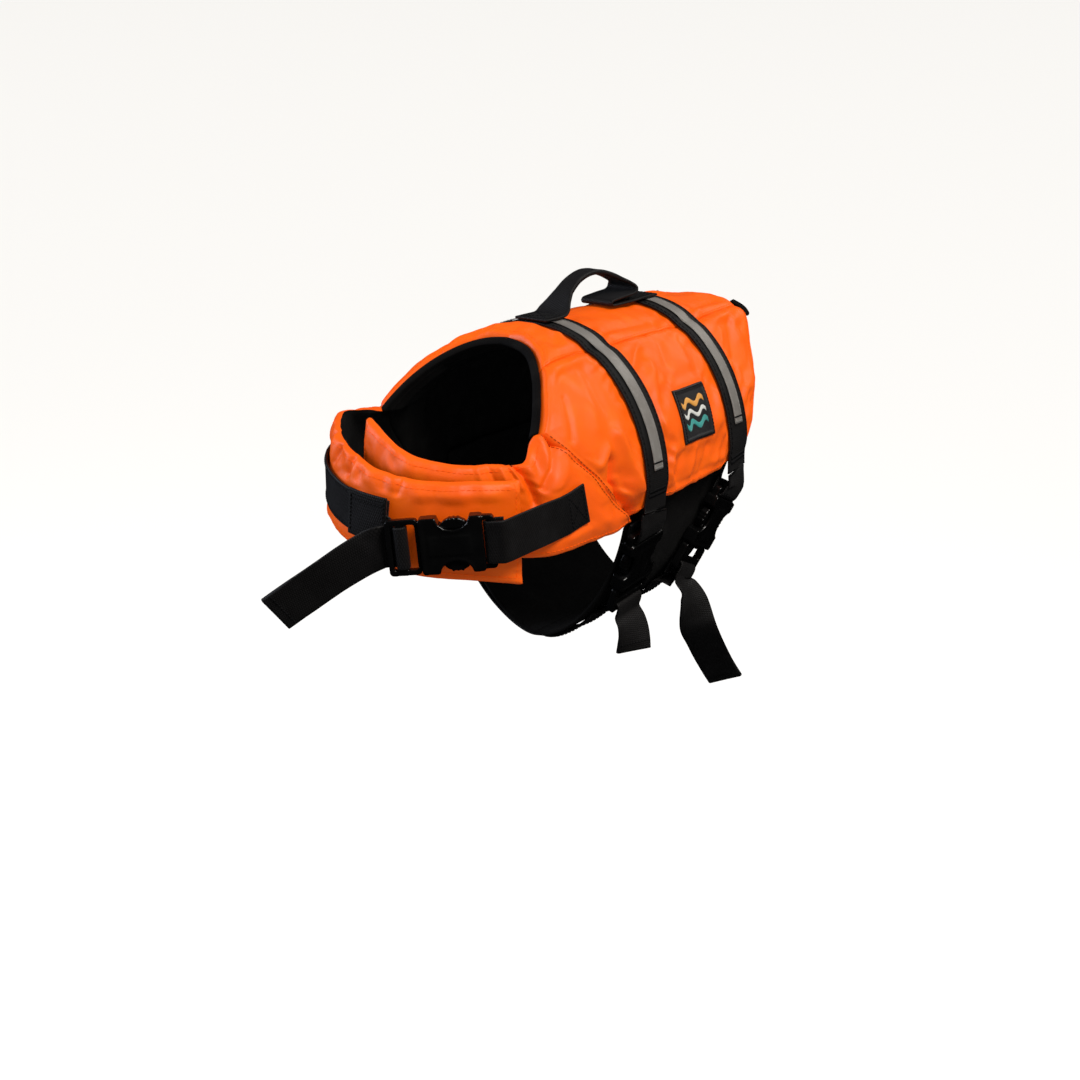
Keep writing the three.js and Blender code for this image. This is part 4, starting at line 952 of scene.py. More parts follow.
def underWeb(rows, q, z):
    key = "right" if rows["side"] < 0 else "left"
    way = webRows[key]
    across = (np.abs(z - lookup(way["q"], way["z"], q)) - heldDown["half"]) / heldDown["soft"]
    along = np.maximum(heldDown["from"] - q, q - heldDown[key]) / heldDown["fade"]
    held = 1 - eased(np.maximum(across, along))
    if key == "right":
        start, over, level, half = heldDown["buckle"]
        return np.maximum(held, eased((q - start) / over) * fade(np.abs(z - level) - half, heldDown["fade"]))
    start, over, level, drop = heldDown["lap"]
    return np.maximum(held, eased((q - start) / over) * eased((level - z) / drop))


def flapDetail(rows, q, z, v):
    seed = rows["seed"]
    rim, bottom, end = v * flap["height"], (1 - v) * flap["height"], rows["end"] - q
    rise = 0.4 * waver(q / 17, z / 26, seed) + 0.2 * waver(q / 7, z / 12, seed + 1)
    rise = rise + seamPuckers(rim, q, "rim", seed + 2) + seamPuckers(bottom, q, "bottom", seed + 3)
    rise = rise + seamPuckers(end, z, "end", seed + 4)
    for side, at, reach, depth in rimPuckers:
        if side == rows["side"]:
            lean = (q - at - rim * 0.25) / reach
            rise = rise + depth * np.exp(-lean ** 2) * np.exp(-((rim - 3) / 9) ** 2)
    rise = rise + creasesRise(leftFlapCreases if rows["side"] > 0 else rightFlapCreases, q, z)
    rise = rise + seamPuckers(q - ring["backY"] + seamStart(v)[1], z, "shoulder", seed + 6)
    return rise * (1 - underWeb(rows, q, z))


def buildFlap(name, rows, length, across):
    m, n = int(length / flap["alongStep"]), int(across / flap["acrossStep"])
    cm, cn = int(length / flap["coarse"]), int(across / flap["coarse"])
    u, v = unitGrid(cm, cn)
    q, z, _, _ = flapPlace(rows, u, v)
    hold = np.maximum(edgeHold(cm, cn), underWeb(rows, q, z))
    moved = puff(name + "_puff", flapAt(rows, u, v, 0), hold, flap)
    u, v = unitGrid(m, n)
    q, z, _, _ = flapPlace(rows, u, v)
    outer = flapAt(rows, u, v, 0, flapDetail(rows, q, z, v)) + upsample(moved, m, n)
    inner = flapAt(rows, u, v, 1)
    piece = wallPiece(name + "_cloth", outer, inner, (0, 1.1, 1.4, 1.4), (length, across), "orangeCloth",
                      (name,), True)
    keepPanel(name, outer, inner)


buildFlap("chest_flap_left", leftRows, 190, 58)
buildFlap("chest_flap_right", rightRows, 246, 58)
print("chest flaps ready")


buckle = {
    "half": 31, "width": 33, "thick": 9, "split": -12, "prong": (8.2, 12.2, 3.2), "notch": (7.7, 9.6, 7.4),
    "voxel": 0.56, "rounding": 5, "lip": (0.2, 1.3, 0.45), "lipSteps": 26, "ribs": (-2.6, 0, 2.6),
    "plate": (-7, 17, 5.4, 0.45), "step": (0.6, 2.2, 14.6), "top": 4.5, "under": 4,
}
webbing = {
    "width": 25, "thick": 1.6, "gap": 0.8, "step": 1.3, "sway": 0.10, "corner": (12, 42, 72), "fold": 2.1,
}
ways = {}


def ribbon(node, name, way, look="blackWebbing", profile=8):
    at, across = np.asarray(way["at"], float), np.asarray(way["across"], float)
    length = runLength(at)
    count = max(3, int(length[-1] / webbing["step"]) + 1)
    s = np.linspace(0, length[-1], count)
    at = np.stack([lookup(length, at[:, k], s) for k in range(3)], -1)
    width, thick = np.interp(s, length, way["width"]), np.interp(s, length, way["thick"])
    along, across = unit(np.gradient(at, axis=0)), readAt(s, length, across)
    across = unit(across - along * np.sum(across * along, -1, keepdims=True))
    face = np.cross(along, across)
    half, r = width / 2, thick / 2
    corner = [(half - r + r * math.cos(a), r * math.sin(a)) for a in np.radians(webbing["corner"])]
    top = [((half - r) * t, r * (1 - 0.06 * (1 - t * t))) for t in np.linspace(-1, 1, profile + 1)]
    rim = [(-x, z) for x, z in corner] + top + corner[::-1]
    rim += [(x, -z) for x, z in rim[::-1]]
    sideways, heights = (np.stack([place[k] for place in rim], -1) for k in (0, 1))
    heights = heights + webbing["sway"] * waver(s[:, None] / 9, sideways * 0.06, len(name))
    points = at[:, None] + across[:, None] * sideways[..., None] + face[:, None] * heights[..., None]
    points, k = points.reshape(-1, 3), len(rim)
    i, j = np.meshgrid(np.arange(count - 1), np.arange(k), indexing="ij")
    a, b = i * k + j, i * k + (j + 1) % k
    low = np.arange(k // 2 - 1)
    cap = np.stack([low, k - 1 - low, k - 2 - low, low + 1], -1)
    faces = [np.stack([a, b, b + k, a + k], -1).reshape(-1, 4), cap, cap[:, ::-1] + (count - 1) * k]
    faces = turnedOut(points, np.concatenate(faces), points.mean(0))
    lay = np.stack([np.broadcast_to(s[:, None], sideways.shape), sideways + 100, 0 * sideways], -1)
    addPiece(name, points, faces, look, (node,), lay)
    ways[node] = {"at": at, "across": across, "face": face, "s": s, "thick": thick}


def stationsOf(at, across, width=webbing["width"], thick=webbing["thick"]):
    n = len(at)
    return {"at": [*at], "across": [*across], "width": [width] * n, "thick": [thick] * n}


def joined(*ways):
    return {key: [x for way in ways for x in way[key]] for key in ("at", "across", "width", "thick")}


def girthStations(layer, y, angle):
    y, angle = np.broadcast_arrays(np.asarray(y, float), np.asarray(angle, float))
    half = webbing["width"] / 2
    a, b = (girthPoint(y + k * half, angle, layer(y + k * half, angle)) for k in (-1, 1))
    normal = girthPoint(y, angle, 1) - girthPoint(y, angle, 0)
    lift = np.zeros(len(y))
    for t in (0.2, 0.35, 0.5, 0.65, 0.8):
        here = mix(y - half, y + half, t)
        gone = girthPoint(here, angle, layer(here, angle)) - mix(a, b, t)
        lift = np.maximum(lift, np.sum(gone * normal, -1))
    return mix(a, b, 0.5) + normal * (lift + webbing["gap"] + webbing["thick"] / 2)[:, None], b - a, normal


def buckleFrame(centre, along, outwards):
    x = unit(np.asarray(along, float))
    z = unit(outwards - x * np.dot(x, outwards))
    return {"x": x, "y": np.cross(z, x), "z": z, "at": np.asarray(centre, float)}


def inFrame(f, points):
    points = np.asarray(points, float)
    return f["at"] + points[:, :1] * f["x"] + points[:, 1:2] * f["y"] + points[:, 2:] * f["z"]


loopWay = [(36, 4.4), (32, 4.3), (28.4, 4.1), (26.3, 3.3), (25.4, 1.4), (25.4, -1.2),
           (26.2, -3.2), (28.4, -4.1), (32, -4.2), (36, -3.9)]


def loopStations(f, end):
    at = inFrame(f, [(end * out, 0, up) for out, up in loopWay])
    return stationsOf(at, [f["y"]] * len(at))


belly = {
    "depth": 14.6, "thick": 2.5, "tuckGap": 0.8, "tuck": 6, "turn": 9, "front": -61, "rear": 60, "topZ": -108,
    "strapStart": 2.5, "strapOverlap": 8, "steps": 34, "blunt": 2.0, "grid": (190, 60), "reach": (300, 121),
}
belt = {
    "past": 9, "short": 2, "degrees": 4, "tapeStations": 37, "tapeLift": 1.4, "tape": (10, 0.6),
    "tailTurn": (-0.8, -0.6, 0), "gather": (40, 330),
}
fasteners = [
    {"name": "front", "bandY": -52.5, "footY": -42, "tape": (-62, 83),
     "tail": [(6, 3, 0.5), (13, 4.5, 1), (20, 4.5, 1.5), (26, 4, 2)]},
    {"name": "rear", "bandY": 52.5, "footY": 27, "tape": (-60, 78),
     "tail": [(7, 3, 2), (20, 5, 7), (36, 5, 13), (52, 4, 25), (68, 3, 38), (80, 2, 49), (89, 2, 57)]},
]


def bellyOuter(y, angle):
    folded = np.where(angle > 180, angle - 360, angle)
    edge = hemAngle(y)
    inside = saddleInner(y, np.sign(folded) * np.minimum(np.abs(folded), edge)) - belly["tuckGap"]
    tip = belly["blunt"] * np.exp(-(((np.abs(folded) - 180) / 9) ** 2))
    return mix(inside, -belly["depth"], eased((np.abs(folded) - edge) / belly["turn"])) - tip


def bellyFrame(spec):
    middleY = mix(spec["bandY"], spec["footY"], 0.5)
    topAngle = float(angleAtHeight(spec["bandY"], belly["topZ"]))
    top = girthPoint(spec["bandY"], topAngle, -belly["depth"])
    footAngle, foot = topAngle, top
    while np.linalg.norm(foot - top) < buckle["half"] * 2:
        footAngle += 0.25
        foot = girthPoint(spec["footY"], footAngle, -belly["depth"])
    turn = (topAngle + footAngle) / 2
    outwards = girthPoint(middleY, turn, 1) - girthPoint(middleY, turn, 0)
    lift = pad["layGap"] + buckle["thick"] / 2 + 0.4
    centre = girthPoint(middleY, turn, -belly["depth"]) + outwards * lift
    return buckleFrame(centre, top - foot, outwards), footAngle


def foldedEnd(way):
    way["thick"][-2:] = [webbing["thick"] * webbing["fold"]] * 2
    return way


def buildBelts():
    for spec in fasteners:
        f, footAngle = bellyFrame(spec)
        y, edge = spec["bandY"], float(hemAngle(spec["bandY"]))
        first, last = -(edge + belt["past"]), edge - belt["short"]
        angle = np.linspace(first, last, round((last - first) / belt["degrees"]) + 1)
        at, across, _ = girthStations(saddleOuter, y, angle)
        loop = loopStations(f, 1)
        bridge = stationsOf([mix(at[-1], loop["at"][0], 0.5)], loop["across"][:1])
        band, tape, strap = (spec["name"] + part for part in ("_band", "_tape", "_belly_strap"))
        ribbon(band, band + "_web", joined(stationsOf(at, across), bridge, loop))
        at, across, normal = girthStations(saddleOuter, y, np.linspace(*spec["tape"], belt["tapeStations"]))
        ribbon(tape, tape + "_strip", stationsOf(at + normal * belt["tapeLift"], across, *belt["tape"]),
               "reflectiveTape", 6)
        t = np.linspace(0, 1, belly["steps"] + 1)
        angle = mix(360 - edge - belly["strapStart"], footAngle + belly["strapOverlap"], t)
        at, across, _ = girthStations(bellyOuter, mix(y, spec["footY"], ease(t)), angle)
        loop = {key: row[::-1] for key, row in loopStations(f, -1).items()}
        top, side, turned = loop["at"][-1], loop["across"][-1], np.array(belt["tailTurn"])
        tail = stationsOf([top + np.array([x, back, -down]) for down, x, back in spec["tail"]],
                          [mix(side, turned, min(down / 50, 1)) for down, _, _ in spec["tail"]])
        ribbon(strap, strap + "_web", foldedEnd(joined(stationsOf(at, across), loop, tail)))


chest = {"x": 42, "z": -88, "tilt": 0.095, "webEnd": 203, "webStations": 35, "webLift": 0.2, "tailLean": 0.2}


def chestFrame():
    turn = math.acos(chest["x"] / ring["half"])
    outwards = unit(np.array([math.cos(turn) / ring["half"], -math.sin(turn) / ring["depth"], 0]))
    along = np.array([-outwards[1], outwards[0], chest["tilt"]])
    centre = np.array([chest["x"], ring["y"] - ring["depth"] * math.sin(turn), chest["z"]])
    lift = pad["layGap"] + buckle["thick"] / 2 + pad["gap"]
    return buckleFrame(centre + outwards * lift, along, outwards)


def flapStations(rows, way, lift, q=None):
    q = way["q"] if q is None else q
    at, normal = onFlap(rows, q, lookup(way["q"], way["z"], q))
    across = np.array([0, 0, 1]) - normal * normal[:, 2:]
    return stationsOf(at + normal * lift, across, way.get("wide", webbing["width"]))


chestTail = [(7, 3.4, 0), (17, 9.4, 0.5), (29, 17.6, 1), (41, 26.2, 1), (52, 34.2, 0.5), (61, 41, 0)]
ladderWay = [(33, -9.2), (29.5, -7.4), (25.5, -5.6), (22.2, -4.6), (20.4, -3.4), (19.6, -1.4), (19.6, 1.4),
             (20.5, 3.3), (22.6, 3.8), (24.7, 3.3), (25.8, 1.4), (26.2, -1.0), (27.2, -3.0), (29.2, -3.9),
             (32.5, -3.7), (36, -2.6)]


def buildChestWebs():
    f = chestFrame()
    lift, stack = pad["layGap"] + webbing["thick"] / 2, webbing["thick"] + pad["stackGap"]
    left, loop = flapStations(leftRows, webRows["left"], lift), loopStations(f, 1)
    bridge = stationsOf([mix(left["at"][-1], loop["at"][0], t) for t in (0.35, 0.7)], loop["across"][:2])
    ribbon("chest_web_left", "chest_left_web", joined(left, bridge, loop))
    lift += chest["webLift"]
    q = np.linspace(webRows["right"]["q"][0], chest["webEnd"], chest["webStations"])
    ribbon("chest_web_right", "chest_right_web", flapStations(rightRows, webRows["right"], lift, q))
    start = flapStations(rightRows, webRows["strap"], lift + stack)
    ribbon("chest_patch", "chest_patch_web", flapStations(rightRows, webRows["patch"], lift + 2 * stack))
    at = inFrame(f, [(-out, 0, up) for out, up in ladderWay])
    outwards = unit(np.array([-f["x"][0], -f["x"][1], 0]))
    sideways = np.array([-outwards[1], outwards[0], 0])
    tail = stationsOf(
        [at[-1] + outwards * out + sideways * back - np.array([0, 0, drop]) for out, drop, back in chestTail],
        [np.array([0, 0, 1]) + sideways * chest["tailLean"] * min(out / 30, 1) for out, _, _ in chestTail])
    way = joined(start, stationsOf(at, [f["y"]] * len(at)), tail)
    ribbon("chest_strap", "chest_strap_web", foldedEnd(way))


handleRows = [  # side view of the handle: y, z, width, thickness
    (-66, 14.3, 25, 1.6), (-52, 14.3, 25, 1.6), (-45, 14.8, 25, 1.6), (-41, 17.5, 24, 1.8),
    (-37, 21.5, 19, 2.4), (-31, 27, 14, 3.2), (-21, 33, 12.5, 3.4), (-9, 36, 12.5, 3.4),
    (3, 35.4, 12.5, 3.4), (15, 32.2, 12.5, 3.4), (26, 27.8, 14, 3.2), (32, 25, 19, 2.4),
    (35, 22.6, 24, 1.8), (35, 20.2, 25, 1.6), (32, 18.7, 25, 1.6), (23, 18, 25, 1.6),
    (11, 17.2, 25, 1.6), (6.5, 16.6, 25, 1.6), (5.2, 15.2, 25, 1.6), (6.6, 13.9, 25, 1.6),
    (11, 13.6, 25, 1.6), (28, 13.6, 25, 1.6), (39, 13.9, 25, 1.6), (48, 14.3, 25, 1.6), (58, 14.3, 25, 1.6),
]


def buildHandle():
    way = {"at": [(0, y, z) for y, z, _, _ in handleRows], "across": [(1, 0, 0)] * len(handleRows)}
    way["width"], way["thick"] = ([row[k] for row in handleRows] for k in (2, 3))
    ribbon("handle", "handle_web", way)


buildBelts()
buildChestWebs()
buildHandle()
print("webbing ready")


liningRows = [  # ahead of the edge, rise or clearance behind the foam, thickness
    (6.5, -6.4, None, 2.4), (5, -5, None, 4.6), (2.6, -4.7, None, 5.6), (1, -6.4, None, 5),
    (0.6, -9.4, None, 2), (-7, None, 1.6, 1.4), (-17, None, 1, 1.4), (-27, None, 1, 1.2),
]


lining = {
    "reach": 54, "columns": 130, "steps": 6, "softRows": 26, "rearAngles": (24.5, 36), "rearGrid": (18, 8),
    "rearDepths": (-4.6, -8), "rearPast": (0.3, 4), "raised": 2.6,
}


def buildBelly():
    u, v = unitGrid(*belly["grid"])
    y = mix(belly["front"], belly["rear"], v)
    angle = mix(hemAngle(y) - belly["tuck"], 360 - hemAngle(y) + belly["tuck"], u)
    wave = 0.5 * waver(u * 26, v * 3, 91) + 0.25 * waver(u * 60, v * 9, 92)
    edge = np.minimum(v, 1 - v) * belly["reach"][1]
    level = bellyOuter(y, angle)
    outer = girthPoint(y, angle, level - 0.5 + 0.35 * wave * (1 - np.exp(-edge / 6)))
    inner = girthPoint(y, angle, level - belly["thick"])
    keepPanel("belly_panel", outer, inner)
    piece = wallPiece("belly_panel_cloth", outer, inner, (0.4, 0.4, 0.5, 0.5), belly["reach"], "blackLining",
                      ("belly_panel",))


def buildNeckLining():
    angle = np.linspace(-lining["reach"], lining["reach"], lining["columns"])
    layers = [], []
    for ahead, rise, behind, thick in liningRows:
        y = frontEdge(angle) - ahead
        level = saddleInner(y, angle) - behind if behind else np.full(len(angle), rise)
        for layer, drop in zip(layers, (0, thick)):
            layer.append(girthPoint(y, angle, level - drop))
    last = len(liningRows) - 1
    rowAt = np.linspace(0, last, last * lining["steps"] + 1)
    low = np.clip(np.floor(rowAt).astype(int), 0, last - 1)
    t = (rowAt - low)[None, :, None]
    stacks = (np.stack(layer, 1) for layer in layers)
    outer, inner = (mix(rows[:, low], rows[:, low + 1], t) for rows in stacks)
    soft = lining["softRows"]
    outer[:, :soft] = softenedRows(outer[:, :soft])
    piece = wallPiece("neck_lining_cloth", outer, inner, (0.3, 0.3, 0.8, 0.2), (165, 40), "blackLining",
                      ("neck_lining",))


def buildRearLinings():
    u, v = unitGrid(*lining["rearGrid"])
    for name, side in (("rear_lining_left", 1), ("rear_lining_right", -1)):
        angle = side * mix(*lining["rearAngles"], u)
        y = rearEdge(angle) + mix(*lining["rearPast"], v)
        raised = lining["raised"] + 0.8 * v + squarer(rearEdge(angle), np.abs(angle))
        outer, inner = (girthPoint(y, angle, level + raised) for level in lining["rearDepths"])
        wallPiece(name + "_cloth", outer, inner, (0.5, 0.5, 0, 0.9), (20, 4), "blackLining",
                  (name,))


def softenedRows(field):
    for _ in range(3):
        wide = np.concatenate([field[:, :1], field, field[:, -1:]], 1)
        field = 0.5 * field + 0.25 * (wide[:, :-2] + wide[:, 2:])
    return field


buildBelly()
buildNeckLining()
buildRearLinings()
print("linings ready")


def mouldedPart(name, extras):  # the solid with its small blocks, grown into one rounded skin
    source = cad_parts[name].data
    points = np.empty(len(source.vertices) * 3)
    source.vertices.foreach_get("co", points)
    points = points.reshape(-1, 3)
    faces = [list(face.vertices) for face in source.polygons]
    for block, blockFaces in extras:
        start = len(points)
        points = np.concatenate([points, np.asarray(block) * mm])
        faces += [[start + k for k in face] for face in blockFaces]
    mesh = bpy.data.meshes.new(name + "_rough")
    mesh.from_pydata(points.tolist(), [], faces)
    rough = linked(name + "_rough", mesh)
    remesh = rough.modifiers.new("skin", "REMESH")
    remesh.mode, remesh.voxel_size, remesh.use_smooth_shade = "VOXEL", buckle["voxel"] * mm, True
    soft = rough.modifiers.new("rounded", "SMOOTH")
    soft.factor, soft.iterations = 0.5, buckle["rounding"]
    shaped = bpy.data.meshes.new_from_object(rough.evaluated_get(bpy.context.evaluated_depsgraph_get()))
    bpy.data.objects.remove(rough)
    shaped.name = name + "_moulded"
    shaped.materials.clear()
    shaped.materials.append(materials["blackPlastic"])
    piece = linked(name + "_moulded", shaped)
    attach(piece, "root")
    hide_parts(name)


def blockAt(f, low, high):
    points = [(x, y, z) for x in (low[0], high[0]) for y in (low[1], high[1]) for z in (low[2], high[2])]
    faces = [(0, 1, 3, 2), (4, 6, 7, 5), (0, 4, 5, 1), (2, 3, 7, 6), (0, 2, 6, 4), (1, 5, 7, 3)]
    return inFrame(f, points), faces


def notchLip(f, side):  # a low rim round the cut where a prong shows
    x, long, deep = buckle["notch"]
    near, far, high = buckle["lip"]
    steps, top = buckle["lipSteps"], buckle["top"]
    turn = np.radians(np.linspace(12, 168, steps + 1))
    rows = []
    for grow, level in ((near, 3.9), (near, top + high), (far, top + high), (far, 3.9)):
        down = side * (buckle["width"] / 2 - (deep + grow) * np.sin(turn))
        rows.append(np.stack([x + (long + grow) * np.cos(turn), down, np.full(len(turn), level)], -1))
    faces = [(a * 4 + k, a * 4 + (k + 1) % 4, a * 4 + 4 + (k + 1) % 4, a * 4 + 4 + k)
             for a in range(steps) for k in range(4)]
    faces += [(0, 3, 2, 1), tuple(steps * 4 + k for k in range(4))]
    return inFrame(f, np.stack(rows, 1).reshape(-1, 3)), faces


def buildBuckles():
    places = {spec["name"]: bellyFrame(spec)[0] for spec in fasteners}
    places["chest"] = chestFrame()
    x0, x1, half, high = buckle["plate"]
    near, far, wide = buckle["step"]
    under, top, split = buckle["under"], buckle["top"] + high, buckle["split"]
    prongX, prongY, prongWide = buckle["prong"]
    for name, f in places.items():
        blocks = [notchLip(f, side) for side in (-1, 1)]
        blocks.append(blockAt(f, (split + near, -wide, under), (split + far, wide, top)))
        blocks.append(blockAt(f, (x0, -half, under), (x1, half, top)))
        mouldedPart(name + "_buckle_female", blocks)
        ribs = []
        for side in (-1, 1):
            low, up = sorted((side * (prongY + prongWide * 0.3), side * (prongY + prongWide + 0.35)))
            for along in buckle["ribs"]:
                x = prongX + along
                ribs.append(blockAt(f, (x - 0.5, low, -2.9), (x + 0.5, up, 2.9)))
        mouldedPart(name + "_buckle_male", ribs)


buildBuckles()
print("buckles ready")

label = {
    "lift": 0.25, "thick": 1.0, "border": 2.2, "borderHigh": 0.55, "turn": 0.6, "step": 0.5, "sewn": 1.2,
    "stripes": [("amberThread", -6.6, 3.4), ("whiteThread", 0, 2.6), ("tealThread", 6.4, 3.4)],
    "stripeHalf": 12.6, "waveLong": 12.6, "waveHigh": 1.7, "stripeHigh": 0.4, "stripeGrid": (90, 9),
}


labelLong = labelSpot["rear"] - labelSpot["front"]
labelDown = (labelSpot["bottom"] - labelSpot["top"]) * pad["perDegree"]


def onLabel(along, down, height):
    y = (labelSpot["front"] + labelSpot["rear"]) / 2 + along
    angle = (labelSpot["top"] + labelSpot["bottom"]) / 2 + down / pad["perDegree"]
    return girthPoint(y, angle, saddleOuter(y, angle) + label["lift"] + height)


def buildLabel():
    u, v = unitGrid(int(labelLong / label["step"]), int(labelDown / label["step"]))
    along, down, turn = (u - 0.5) * labelLong, (v - 0.5) * labelDown, label["turn"]
    inward = np.minimum(labelLong / 2 - np.abs(along), labelDown / 2 - np.abs(down))
    rim = (1 - fade(inward, turn)) * fade(inward - label["border"], turn)
    curl = 0.12 * waver(along / 9, down / 9, 61)
    outer = onLabel(along, down, label["thick"] + label["borderHigh"] * rim + curl)
    wallPiece("label_patch_cloth", outer, onLabel(along, down, 0), [0.3] * 4, (labelLong, labelDown),
              "labelCloth", ("label_patch",))
    u, v = unitGrid(*label["stripeGrid"])
    t, across = u * 2 - 1, v - 0.5
    along = t * label["stripeHalf"]
    swell = np.sqrt(np.maximum(1 - (across * 2) ** 4, 0)) * np.sqrt(np.maximum(1 - t ** 16, 0))
    for look, level, high in label["stripes"]:
        down = level + across * high + label["waveHigh"] * np.sin(along / label["waveLong"] * 2 * math.pi)
        outer = onLabel(along, down, label["thick"] + 0.05 + label["stripeHigh"] * swell)
        wallPiece("label_" + look, outer, onLabel(along, down, label["thick"] - 0.3), (0, 0, 0, 0),
                  (label["stripeHalf"] * 2, high), look, (), rimRows=2)


buildLabel()
print("label ready")

sewing = {
    "sides": 6, "radius": 0.3, "pitch": 3.3, "fill": 0.8, "wide": 2.8, "close": 2.3, "box": 2.4, "hem": 2.2,
    "channel": 1.9, "seam": 2.0, "web": 10.4,
    "shoulderShare": 0.41,  # how far down the front cut the shoulder seam starts
}
ringAt, ringSize, ringLift = (0, 0.14, 0.86, 1), (0.45, 1, 1, 0.45), (-0.5, 0.55, 0.55, -0.5)


def runStitches(line, pitch=sewing["pitch"]):
    points, normals = line
    way = runLength(points)
    count, fill = max(1, int(round(way[-1] / pitch))), sewing["fill"]
    starts = (np.arange(count) + (1 - fill) / 2) * way[-1] / count
    ends = starts + fill * way[-1] / count
    places = ((starts, points), (ends, points), ((starts + ends) / 2, normals))
    return np.stack([readAt(at, way, field) for at, field in places], 1)


def tackStitches(line, width, pitch=0.75):  # a dense zigzag along a short line
    points, normals = line
    way = runLength(points)
    at = np.linspace(0, way[-1], max(2, int(way[-1] / pitch)))
    spot, up = readAt(at, way, points), unit(readAt(at, way, normals))
    along = unit(np.gradient(spot, axis=0))
    side = unit(np.cross(along, up)) * width / 2 + along * pitch * 0.45
    return np.stack([spot - side, spot + side, up], 1)


def addStitches(name, runs, look, radius=sewing["radius"]):
    marks = np.concatenate(runs)
    a, b, up = marks[:, 0], marks[:, 1], unit(marks[:, 2])
    side = unit(np.cross(b - a, up))
    k = sewing["sides"]
    turn = np.arange(k) * 2 * math.pi / k
    spokes = side[:, None] * np.cos(turn)[:, None] + up[:, None] * np.sin(turn)[:, None]
    points, lay = [], []
    long = np.linalg.norm(b - a, axis=-1)
    for t, size, lift in zip(ringAt, ringSize, ringLift):
        middle = mix(a, b, t) + up * lift * radius
        points.append(middle[:, None] + spokes * radius * size)
        lay.append(np.stack(np.broadcast_arrays((long * t)[:, None], turn / (2 * math.pi), 0.0), -1))
    points, lay = np.stack(points, 1), np.stack(lay, 1)
    faces = [(r * k + j, r * k + (j + 1) % k, (r + 1) * k + (j + 1) % k, (r + 1) * k + j)
             for r in range(3) for j in range(k)]
    faces += [(3, 2, 1, 0), (5, 4, 3, 0), (3 * k, 3 * k + 1, 3 * k + 2, 3 * k + 3),
              (3 * k, 3 * k + 3, 3 * k + 4, 3 * k + 5)]
    faces = (np.array(faces)[None, :, ::-1] + np.arange(len(marks))[:, None, None] * 4 * k).reshape(-1, 4)
    addPiece(name, points.reshape(-1, 3), faces, look, (), lay.reshape(-1, 3))
    print(name, len(marks), "stitches")


def panelLine(name, edge, inset, start=0.0, stop=1.0):
    grid, ups = panels[name]["outer"], panels[name]["normals"]
    if edge in ("low", "high"):
        grid, ups = grid.transpose(1, 0, 2), ups.transpose(1, 0, 2)
    if edge in ("last", "high"):
        grid, ups = grid[::-1], ups[::-1]
    grid, ups = grid[:16], ups[:16]
    last = grid.shape[1] - 1
    columns = range(int(start * last), int(stop * last) + 1)
    reach = [runLength(grid[:, c]) for c in columns]
    points, normals = (np.array([readAt(inset, way, field[:, c]) for way, c in zip(reach, columns)])
                       for field in (grid, ups))
    return points, unit(normals)


def webLine(key, spots, sign):  # spots are (distance along, distance across) on a web
    way, spots = ways[key], np.asarray(spots, float)
    reach = runLength(spots)
    at = np.linspace(0, reach[-1], max(2, int(reach[-1] / 1.5) + 1))
    along, across = (np.interp(at, reach, spots[:, k]) for k in (0, 1))
    middle, side, up = (readAt(along, way["s"], way[part]) for part in ("at", "across", "face"))
    thick = np.interp(along, way["s"], way["thick"])
    up = unit(up) * sign
    return middle + unit(side) * across[:, None] + up * (thick / 2)[:, None], up


def webSpan(key, low):  # the stretch of a band that lies on the saddle, above a height
    way = ways[key]
    on = way["s"][way["at"][:, 2] > low]
    return on[0], on[-1]


def boxCross(key, s0, s1, half, sign):
    corners = [(s0, -half), (s1, -half), (s1, half), (s0, half), (s0, -half)]
    sides = [*zip(corners, corners[1:]), (corners[0], corners[2]), (corners[1], corners[3])]
    return [runStitches(webLine(key, side, sign), sewing["box"]) for side in sides]


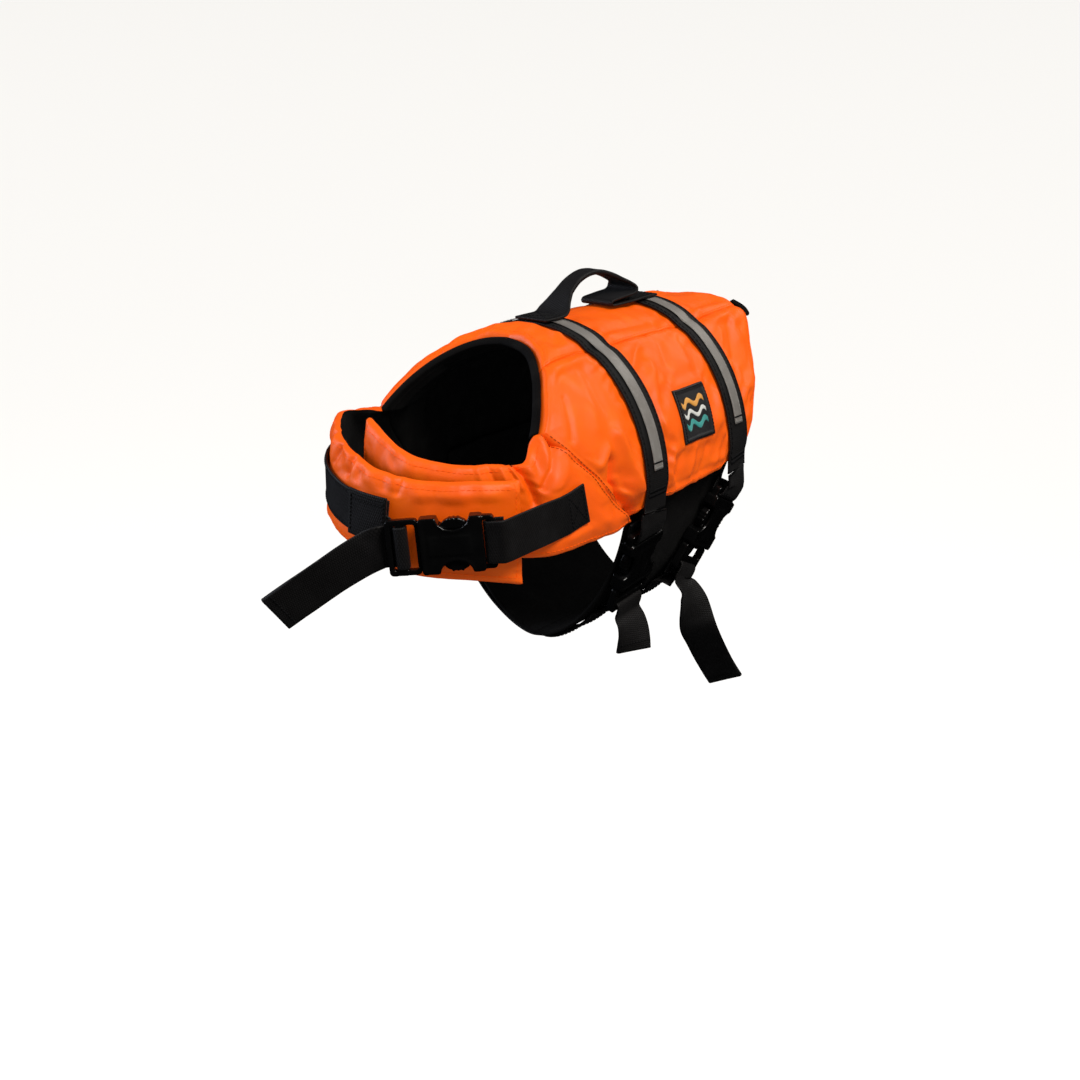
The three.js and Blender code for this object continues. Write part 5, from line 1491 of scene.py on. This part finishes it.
def buildSewing():
    orange, tan, black, grey = [], [], [], []

    def seam(runs, name, edges, inset, pitch=sewing["pitch"], **share):
        for edge in edges:
            runs.append(runStitches(panelLine(name, edge, inset, **share), pitch))

    def row(runs, key, first, last, sign=1, pitch=sewing["pitch"]):
        runs.append(runStitches(webLine(key, [first, last], sign), pitch))

    def tack(runs, key, at, half, width, pitch=0.75):
        runs.append(tackStitches(webLine(key, [(at, -half), (at, half)], 1), width, pitch))

    share, inset, near, wide = sewing["shoulderShare"], saddle["hemStitch"], sewing["seam"], sewing["wide"]
    seam(orange, "saddle_top", ("low", "high"), sewing["channel"])
    for name in ("saddle_left", "saddle_right"):
        seam(orange, name, ("low",), sewing["channel"])
    for name in ("saddle_left", "saddle_right"):
        seam(orange, name, ("high", "last"), inset)
        seam(orange, name, ("first",), near, stop=share)
        seam(tan, name, ("first",), near, wide, start=share)
    seam(orange, "saddle_top", ("first", "last"), inset)
    for name in ("chest_flap_left", "chest_flap_right"):
        seam(tan, name, ("first",), near, wide)
        seam(orange, name, ("last", "low", "high"), inset)
    seam(black, "belly_panel", ("low", "high"), 5)
    web, hem = sewing["web"], sewing["hem"]
    for name in ("front", "rear"):
        band, tape, strap = (name + part for part in ("_band", "_tape", "_belly_strap"))
        first, last = webSpan(band, -88)
        for side in (-web, web):
            row(black, band, (first, side), (last, side))
        for at in (first, first + 3, last, last - 3):
            tack(black, band, at, 9.5, 1.8)
        length = ways[tape]["s"][-1]
        for side in (-4, 4):
            row(grey, tape, (1, side), (length - 1, side), 1, wide)
        for at in (1.2, length - 1.2):
            tack(grey, tape, at, 4, 1.0)
        for at in (4.5, length - 4.5):
            tack(black, tape, at, 4.8, 1.0, 0.6)
        way, (aside, along) = ways[strap], belt["gather"]
        foot = way["s"][(way["at"][:, 0] < aside) & (way["s"] < along)][-1]
        for side in (-web, web):
            row(black, strap, (4, side), (foot, side), -1)
        end = way["s"][-1] - 6
        for sign in (-1, 1):
            row(black, strap, (end, -11), (end, 11), sign, hem)
    handle, right, patch, strap = (ways[key]["s"][-1] for key in (
        "handle", "chest_web_right", "chest_patch", "chest_strap"))
    black += boxCross("handle", 2, 19, 10, -1) + boxCross("handle", handle - 30, handle - 2, 10, -1)
    black += boxCross("chest_web_left", 2, 15, 9.8, -1) + boxCross("chest_web_right", 2, 20, 9.8, 1)
    for side in (-web, web):
        row(black, "chest_web_right", (22, side), (right - 32, side))
    for side in (8.6, 11.4):
        row(black, "chest_patch", (2, side), (patch - 2, side), 1, sewing["box"])
    for at in (2, patch - 2):
        row(black, "chest_patch", (at, -11), (at, 11), 1, sewing["box"])
    for sign in (-1, 1):
        row(black, "chest_strap", (strap - 6, -11), (strap - 6, 11), sign, hem)
    reach, drop = labelLong / 2 - label["sewn"], labelDown / 2 - label["sewn"]
    corners = [(-reach, -drop), (reach, -drop), (reach, drop), (-reach, drop), (-reach, -drop)]
    t, high = np.linspace(0, 1, 40), label["thick"] + label["borderHigh"]
    for (x0, y0), (x1, y1) in zip(corners[:-1], corners[1:]):
        along, down = mix(x0, x1, t), mix(y0, y1, t)
        up = unit(onLabel(along, down, 1) - onLabel(along, down, 0))
        black.append(runStitches((onLabel(along, down, high), up), sewing["close"]))
    addStitches("orange_seams", orange, "orangeStitch", 0.2)
    addStitches("shoulder_seams", tan, "tanStitch", 0.27)
    addStitches("black_seams", black, "blackStitch")
    addStitches("tape_seams", grey, "greyStitch", 0.2)


buildSewing()
print("sewing ready")
